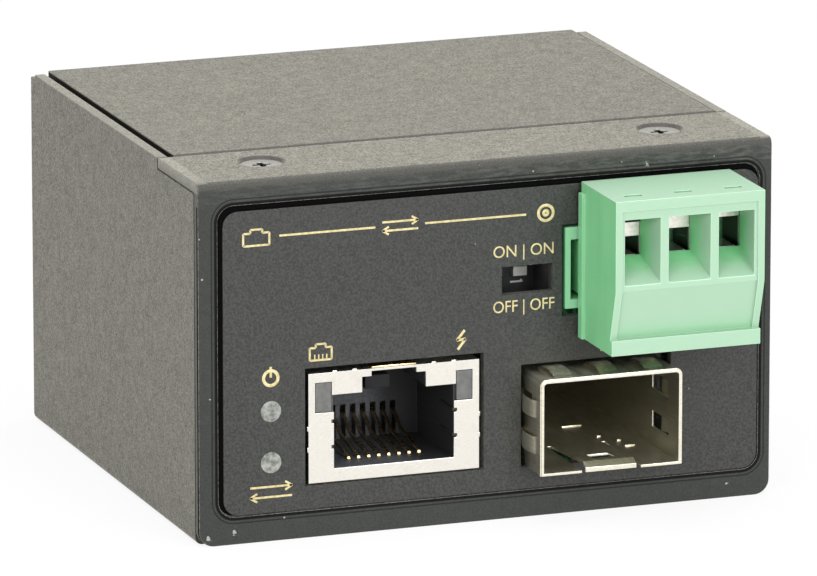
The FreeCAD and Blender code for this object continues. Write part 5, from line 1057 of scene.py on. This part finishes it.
@dataclass
class FrontLabel:
    """Printed film on the front, with its lamp windows and generic signs."""

    body: str = "chassis"
    face: float = FACE
    film_edge: float = 0.06
    ink_height: float = 0.03
    stroke: float = 0.2
    lamp_x: float = -21.8
    lamp_heights: Span = (7.7, 12.7)
    lamp_radius: float = 1.02
    lamp_depth: float = 0.06
    lamp_rise: float = 0.01
    cap: float = 1.5
    words: tuple[tuple[str, float, float, float], ...] = (
        ("ON | ON", 0.6, 25.35, 6.1), ("OFF | OFF", 0.6, 19.95, 6.2),
        ("1", 11.5, 15.7, 0.42), ("2", 16.5, 15.7, 0.8), ("3", 21.6, 15.7, 0.8),
    )
    lamp_arrow: Triple = (2.1, 1.4, 0.42)
    title_arrow: Triple = (1.8, 1.15, 0.38)

    def build(self) -> None:
        """Dress the film and print on it."""
        dress("front_label", "label_film", Slot.LABEL, self.body, self.film_edge)
        for number, height in enumerate(self.lamp_heights, start=1):
            self.lamp_window(f"lamp_window_{number}", height)
        signs = self.switch_words() + self.lamp_signs() + self.jack_signs() + self.title_signs()
        finish_piece(join(signs, "label_print"), Slot.LABEL, self.body, INK)

    def lamp_window(self, name: str, z: float) -> None:
        """A clear round window in the print, with a rounded rim.

        Args:
            name: The window's name.
            z: Its middle's height, in millimetres.
        """
        deselect_all()
        bpy.ops.mesh.primitive_cylinder_add(
            vertices=48, radius=self.lamp_radius * MM, depth=self.lamp_depth * MM,
            location=Vector((self.lamp_x, self.face - self.lamp_rise, z)) * MM, rotation=(math.pi / 2, 0.0, 0.0),
        )
        piece = bpy.context.active_object
        apply_place(piece)
        trim([piece], name, Slot.LAMP, self.body, 0.02, LENS)

    def mark(self, points: list[Span], width: float = 0.0) -> list[Piece]:
        """A run of printed bars through points, each given as X and Z in millimetres."""
        ink = (width or self.stroke, self.face, self.ink_height)
        return [bar(start, end, *ink) for start, end in zip(points, points[1:])]

    def circle(self, x: float, z: float, radius: float, width: float) -> Piece:
        """A printed ring about a point, in millimetres."""
        return ring(x, z, radius, width, self.face, self.ink_height)

    def arrow(self, x: float, z: float, way: int, size: Triple) -> list[Piece]:
        """A printed arrow.

        Args:
            x: Its middle, in millimetres.
            z: Its height, in millimetres.
            way: 1 where it points right and -1 where it points left.
            size: Half its length, where its head starts and half the head's height, in millimetres.

        Returns:
            Its bars.
        """
        reach, neck, half = size
        shaft = self.mark([(x - way * reach, z), (x + way * reach, z)])
        return shaft + self.mark([(x + way * neck, z + half), (x + way * reach, z), (x + way * neck, z - half)])

    def switch_words(self) -> list[Piece]:
        """ON above the option switch, OFF below it and a number under each pole of the plug."""
        return [
            lettering(text, x, z, width, self.cap, self.face, self.ink_height) for text, x, z, width in self.words
        ]

    def lamp_signs(self) -> list[Piece]:
        """A power sign above the lamps and a two-way arrow below them.

        Returns:
            The signs' bars and rings.
        """
        x = self.lamp_x
        signs = [self.circle(x, 15.95, 0.72, 0.22)]
        signs += self.mark([(x, 16.0), (x, 17.05)], 0.24)
        return signs + self.arrow(x, 5.35, 1, self.lamp_arrow) + self.arrow(x, 4.35, -1, self.lamp_arrow)

    def jack_signs(self) -> list[Piece]:
        """A socket sign and a bolt above the jack's two lights.

        Returns:
            The signs' bars.
        """
        signs = self.mark([(-17.9, 17.3), (-15.7, 17.3), (-15.7, 18.5), (-16.3, 18.5), (-16.3, 18.85), (-17.3, 18.85),
                           (-17.3, 18.5), (-17.9, 18.5), (-17.9, 17.3)])
        for index in range(4):
            x = -17.4 + 0.4 * index
            signs += self.mark([(x, 17.35), (x, 17.85)], 0.12)
        signs += self.mark([(-2.3, 18.95), (-3.1, 18.0), (-2.2, 18.1), (-3.0, 17.1)], 0.26)
        return signs

    def title_signs(self) -> list[Piece]:
        """A row that shows a socket, an arrow each way and a fibre between thin rules.

        Returns:
            The signs' bars and rings.
        """
        low, high = 28.95, 30.5
        middle = (low + high) / 2
        signs = self.mark([(-24.5, low), (-21.9, low), (-21.9, high - 0.35), (-22.6, high - 0.35), (-22.6, high),
                           (-23.8, high), (-23.8, high - 0.35), (-24.5, high - 0.35), (-24.5, low)])
        signs += self.mark([(-20.9, middle), (-11.3, middle)])
        for z, way in ((middle + 0.42, 1), (middle - 0.42, -1)):
            signs += self.arrow(-8.8, z, way, self.title_arrow)
        signs += self.mark([(-6.3, middle), (3.9, middle)])
        signs += [self.circle(5.9, middle, radius, 0.2) for radius in (0.75, 0.22)]
        return signs


@dataclass
class NetworkJack:
    """Shielded network jack with its eight contacts, two light pipes, grounding springs and burrs."""

    body: str = "chassis"
    centre: float = -9.35
    front: float = -25.3
    pitch: float = 1.02
    contacts: int = 8
    sheet_edge: float = 0.05
    mould_edge: float = 0.06
    wire_edge: float = 0.11
    nose: Span = (0.21, 0.44)
    nose_place: Span = (-22.35, 6.5)
    leaf: Triple = (4.5, 1.3, 0.16)
    leaf_depth: float = 0.7
    leaf_height: float = 16.05
    spring: Triple = (0.5, 3.6, 0.34)
    spring_x: float = -3.22
    spring_depth: float = 1.75
    spring_heights: Span = (8.7, 11.2)
    plate: Span = (0.14, 2.6)
    plate_place: Span = (0.16, 1.9)
    plate_spare: float = 0.1
    stop: Triple = (2.5, 3.0, 1.3)
    stop_place: Triple = (-1.4, 2.3, 14.42)
    shield: Triple = (-17.97, -0.73, 15.95)
    burr: Triple = (0.5, 0.2, 0.24)
    burr_depth: float = 0.12
    burr_rise: float = 0.02
    burr_heights: Span = (8.5, 10.55)
    burr_places: tuple[float, ...] = (-15.3, -13.3, -5.3, -3.3)

    def build(self) -> None:
        """Dress the jack and add its small springs."""
        dress("rj45_shield", "jack_shield", Slot.NICKEL, self.body, self.sheet_edge)
        dress("rj45_housing", "jack_housing", Slot.NYLON, self.body, self.mould_edge, 2, (COMB,))
        dress("rj45_contacts", "jack_contacts", Slot.GOLD, self.body, self.wire_edge, 3, (WIRE,))
        for side in ("left", "right"):
            dress(f"rj45_light_pipe_{side}", f"jack_light_pipe_{side}", Slot.PIPE, self.body, self.mould_edge)
        self.contact_noses()
        self.top_spring()
        self.side_springs()
        self.latch_stop()
        self.burrs()

    def contact_noses(self) -> None:
        """Rolled noses at the contacts' front ends."""
        places = [self.centre + (index - (self.contacts - 1) / 2) * self.pitch for index in range(self.contacts)]
        noses = [roll((x, *self.nose_place), *self.nose) for x in places]
        finish_piece(join(noses, "jack_contact_noses"), Slot.GOLD, self.body, WIRE)

    def top_spring(self) -> None:
        """A thin gilt spring over the shield's notch."""
        leaf = block((self.centre, self.front + self.leaf_depth, self.leaf_height), self.leaf)
        trim([leaf], "jack_top_spring", Slot.GOLD, self.body, 0.05)

    def side_springs(self) -> None:
        """Two leaves along the socket's right wall and the plate behind them, both dark as painted shade."""
        leaves = [block((self.spring_x, self.front + self.spring_depth, z), self.spring) for z in self.spring_heights]
        # Painted shade: the leaves and the plate are coloured dark.
        trim(leaves, "jack_side_springs", Slot.GOLD, self.body, 0.07, DARK_LEAF)
        low, high = self.spring_heights
        aside, depth = self.plate_place
        middle = (self.spring_x + aside, self.front + depth, (low + high) / 2)
        plate = block(middle, (*self.plate, high - low + self.plate_spare))
        trim([plate], "jack_side_plate", Slot.GOLD, self.body, 0.04, SHADED_PLATE)

    def latch_stop(self) -> None:
        """Moulded block in the left half of the latch's notch, coloured deep black as painted shade."""
        aside, depth, height = self.stop_place
        stop = block((self.centre + aside, self.front + depth, height), self.stop)
        trim([stop], "jack_latch_stop", Slot.NYLON, self.body, 0.08, SHADE)

    def burrs(self) -> None:
        """Small rounded burrs where the shield was cut from its strip."""
        left, right, top = self.shield
        middle = self.front + self.burr_depth
        burrs = [block((x, middle, top + self.burr_rise), self.burr) for x in self.burr_places]
        burrs += [block((x, middle, z), self.burr[::-1]) for x in (left, right) for z in self.burr_heights]
        trim(burrs, "jack_shield_burrs", Slot.NICKEL, self.body, 0.07, segments=3)


@dataclass
class OpticalCage:
    """Cage for an optical module, its spring collar and the host connector."""

    body: str = "chassis"
    sheet_edge: float = 0.04
    spring_edge: float = 0.03
    mould_edge: float = 0.08
    tabs: tuple[Triple, ...] = (
        (13.0, -14.0, 2.0), (14.1, -18.5, 0.4), (15.4, -20.5, 0.4), (15.7, -22.65, 1.0)
    )
    tab_height: float = 5.29
    tab_sides: Span = (0.08, 0.14)

    def build(self) -> None:
        """Dress the cage."""
        metal = (CAGE, HIGHLIT_EDGE)
        dress("sfp_cage", "module_cage", Slot.NICKEL, self.body, self.sheet_edge, 2, metal)
        dress("sfp_spring_collar", "module_spring_collar", Slot.NICKEL, self.body, self.spring_edge, 2, metal)
        dress("sfp_connector", "module_connector", Slot.NYLON, self.body, self.mould_edge)
        tabs = [block((x, y, self.tab_height), (width, *self.tab_sides)) for x, y, width in self.tabs]
        trim(tabs, "module_cage_tabs", Slot.NICKEL, self.body, 0.02, CAGE)
        paint_node("sfp_connector_pins", Slot.GOLD)


@dataclass
class OptionSwitch:
    """Two-way option switch behind its window."""

    body: str = "chassis"
    body_edge: float = 0.06
    slider_edge: float = 0.08
    mark_plane: float = -19.61
    ink_height: float = 0.04
    numeral: tuple[tuple[Span, Span, float], ...] = (
        ((4.5, 21.72), (5.75, 21.72), 0.17), ((5.55, 21.92), (5.75, 21.72), 0.15),
    )

    def build(self) -> None:
        """Dress the switch and its two sliders, and add a pale mark shaped as a 1 on its side below a slider."""
        dress("dip_body", "switch_body", Slot.NYLON, self.body, self.body_edge)
        numeral = [bar(*stroke, self.mark_plane, self.ink_height) for stroke in self.numeral]
        finish_piece(join(numeral, "switch_numeral"), Slot.SLIDER, self.body, CHALK)
        for number in (1, 2):
            slider = f"dip_slider_{number}"
            dress(slider, f"switch_slider_{number}", Slot.SLIDER, slider, self.slider_edge, 3)
        paint_node("dip_pins", Slot.TIN)


@dataclass
class TerminalBlock:
    """Header on the power board and the plug that pulls off it."""

    poles: int = 3
    edge: float = 0.12
    screw_edge: float = 0.1

    def build(self) -> None:
        """Dress the header, the plug and its clamps."""
        nylon = (FINISHES[Slot.TERMINAL], NYLON_EDGE)
        dress("terminal_header", "terminal_socket", Slot.TERMINAL, "chassis", self.edge, 3, (SOCKET,))
        paint_node("header_pins", Slot.TIN)
        dress("plug_housing", "terminal_plug", Slot.TERMINAL, "plug", self.edge, 2, nylon)
        paint_node("plug_contacts", Slot.TIN)
        for number in range(1, self.poles + 1):
            cage, screw = f"clamp_cage_{number}", f"clamp_screw_{number}"
            dress(cage, f"wire_clamp_{number}", Slot.NICKEL, cage, self.edge, 3, (CLAMP,))
            dress(screw, f"wire_screw_{number}", Slot.CLAMP_SCREW, screw, self.screw_edge, 3)


@dataclass
class Electronics:
    """The two boards and what is soldered to them."""

    parts: dict[Slot, tuple[str, ...]] = field(default_factory=lambda: {
        Slot.BOARD: ("main_board", "power_board"),
        Slot.NYLON: ("main_chip", "lan_transformer", "flash_memory", "core_regulator", "link_socket", "link_header",
                     "power_controller", "lamp_holder", "input_diode", "transformer_bobbin"),
        Slot.GOLD: ("link_pins",),
        Slot.TIN: ("crystal", "chip_leads", "lamp_leads", "power_leads"),
        Slot.LAMP: ("power_lamp", "link_lamp"),
        Slot.CERAMIC: ("chip_capacitors",),
        Slot.FUSE: ("input_fuse",),
        Slot.SLEEVE: ("input_capacitor", "output_capacitor"),
        Slot.FERRITE: ("power_inductor", "transformer_core"),
        Slot.TAPE: ("transformer_winding",),
    })

    def build(self) -> None:
        """Give every part on the boards its material."""
        for slot, nodes in self.parts.items():
            for node in nodes:
                paint_node(node, slot)


# --- Studio -------------------------------------------------------------------------------------------


@dataclass
class Studio:
    """Pale floor, white surroundings, soft lamps and the camera."""

    yaw: float = -19.943
    pitch: float = 13.974
    lens: float = 432.0
    sensor: float = 36.0
    clip: Span = (0.01, 20.0)
    eye: Triple = (-315.139, -872.053, 247.65)
    aim: Triple = (0.0, 0.0, 15.0)
    lamps: tuple[tuple[str, Triple, float, float], ...] = (
        ("lamp_top", (0.0, -20.0, 520.0), 420.0, 2.1),
        ("lamp_front_left", (-420.0, -520.0, 300.0), 380.0, 1.85),
        ("lamp_front_right", (170.0, -660.0, 250.0), 320.0, 2.6),
    )
    daylight: float = 0.62
    floor_side: float = 6.0
    floor_grey: float = 0.8
    floor_glow: float = 0.88

    def build(self) -> None:
        """Set up everything round the object."""
        self.camera()
        self.floor()
        self.surroundings()
        for lamp in self.lamps:
            self.lamp(*lamp)
        bpy.context.scene.view_settings.view_transform = "Standard"

    def camera(self) -> None:
        """Place the camera."""
        data = bpy.data.cameras.new("camera")
        data.lens = self.lens
        data.sensor_width = self.sensor
        data.clip_start, data.clip_end = self.clip
        camera = bpy.data.objects.new("camera", data)
        camera.location = Vector(self.eye) * MM
        camera.rotation_euler = (math.radians(90.0 - self.pitch), 0.0, math.radians(self.yaw))
        bpy.context.scene.collection.objects.link(camera)
        bpy.context.scene.camera = camera

    @staticmethod
    def seen(tree: bpy.types.NodeTree) -> Socket:
        """Tell what is seen from what is lit.

        Args:
            tree: The material's or the world's nodes.

        Returns:
            A factor that is 1 for what the camera, gloss and glass see, and 0 for light that falls on the object.
        """
        path = tree.nodes.new("ShaderNodeLightPath")
        total = path.outputs["Is Camera Ray"]
        for name in ("Is Glossy Ray", "Is Transmission Ray"):
            add = tree.nodes.new("ShaderNodeMath")
            add.operation = "ADD"
            add.use_clamp = True
            tree.links.new(total, add.inputs[0])
            tree.links.new(path.outputs[name], add.inputs[1])
            total = add.outputs[0]
        return total

    def floor(self) -> None:
        """A wide pale floor that keeps the object's shadow."""
        deselect_all()
        bpy.ops.mesh.primitive_plane_add(size=self.floor_side)
        floor = bpy.context.active_object
        floor.name = "studio_floor"
        material = bpy.data.materials.new("studio_white")
        material.use_nodes = True
        tree = material.node_tree
        tree.nodes.clear()
        output = tree.nodes.new("ShaderNodeOutputMaterial")
        paint = tree.nodes.new("ShaderNodeBsdfDiffuse")
        paint.inputs["Color"].default_value = (self.floor_grey, self.floor_grey, self.floor_grey, 1.0)
        glow = tree.nodes.new("ShaderNodeEmission")
        mix = tree.nodes.new("ShaderNodeMixShader")
        share = tree.nodes.new("ShaderNodeMath")
        share.operation = "MULTIPLY"
        share.inputs[1].default_value = self.floor_glow
        tree.links.new(self.seen(tree), share.inputs[0])
        tree.links.new(share.outputs[0], mix.inputs[0])
        tree.links.new(paint.outputs[0], mix.inputs[1])
        tree.links.new(glow.outputs[0], mix.inputs[2])
        tree.links.new(mix.outputs[0], output.inputs["Surface"])
        floor.data.materials.append(material)

    def surroundings(self) -> None:
        """White all round, softer as a light than as a background."""
        world = bpy.data.worlds.new("studio")
        bpy.context.scene.world = world
        world.use_nodes = True
        tree = world.node_tree
        tree.nodes.clear()
        output = tree.nodes.new("ShaderNodeOutputWorld")
        background = tree.nodes.new("ShaderNodeBackground")
        strength = tree.nodes.new("ShaderNodeMapRange")
        strength.inputs["To Min"].default_value = self.daylight
        strength.inputs["To Max"].default_value = 1.0
        tree.links.new(self.seen(tree), strength.inputs["Value"])
        tree.links.new(strength.outputs[0], background.inputs["Strength"])
        background.inputs["Color"].default_value = (1.0, 1.0, 1.0, 1.0)
        tree.links.new(background.outputs[0], output.inputs["Surface"])

    def lamp(self, name: str, place: Triple, size: float, power: float) -> None:
        """A square soft lamp that looks at the object.

        Args:
            name: The lamp's name.
            place: Its middle, in millimetres.
            size: Its side, in millimetres.
            power: Its power in watts.
        """
        data = bpy.data.lights.new(name, "AREA")
        data.size = size * MM
        data.energy = power
        lamp = bpy.data.objects.new(name, data)
        lamp.location = Vector(place) * MM
        aim = Vector(self.aim) * MM - lamp.location
        lamp.rotation_euler = aim.to_track_quat("-Z", "Y").to_euler()
        bpy.context.scene.collection.objects.link(lamp)


def main() -> None:
    """Build the studio, then every sub-assembly in order."""
    logging.basicConfig(level=logging.INFO, format="%(message)s")
    Studio().build()
    for assembly in (Enclosure(), FrontLabel(), NetworkJack(), OpticalCage(), OptionSwitch(), TerminalBlock(),
                     Electronics()):
        assembly.build()
        LOG.info("%s is dressed", type(assembly).__name__)
    deselect_all()


if __name__ == "__main__":
    main()
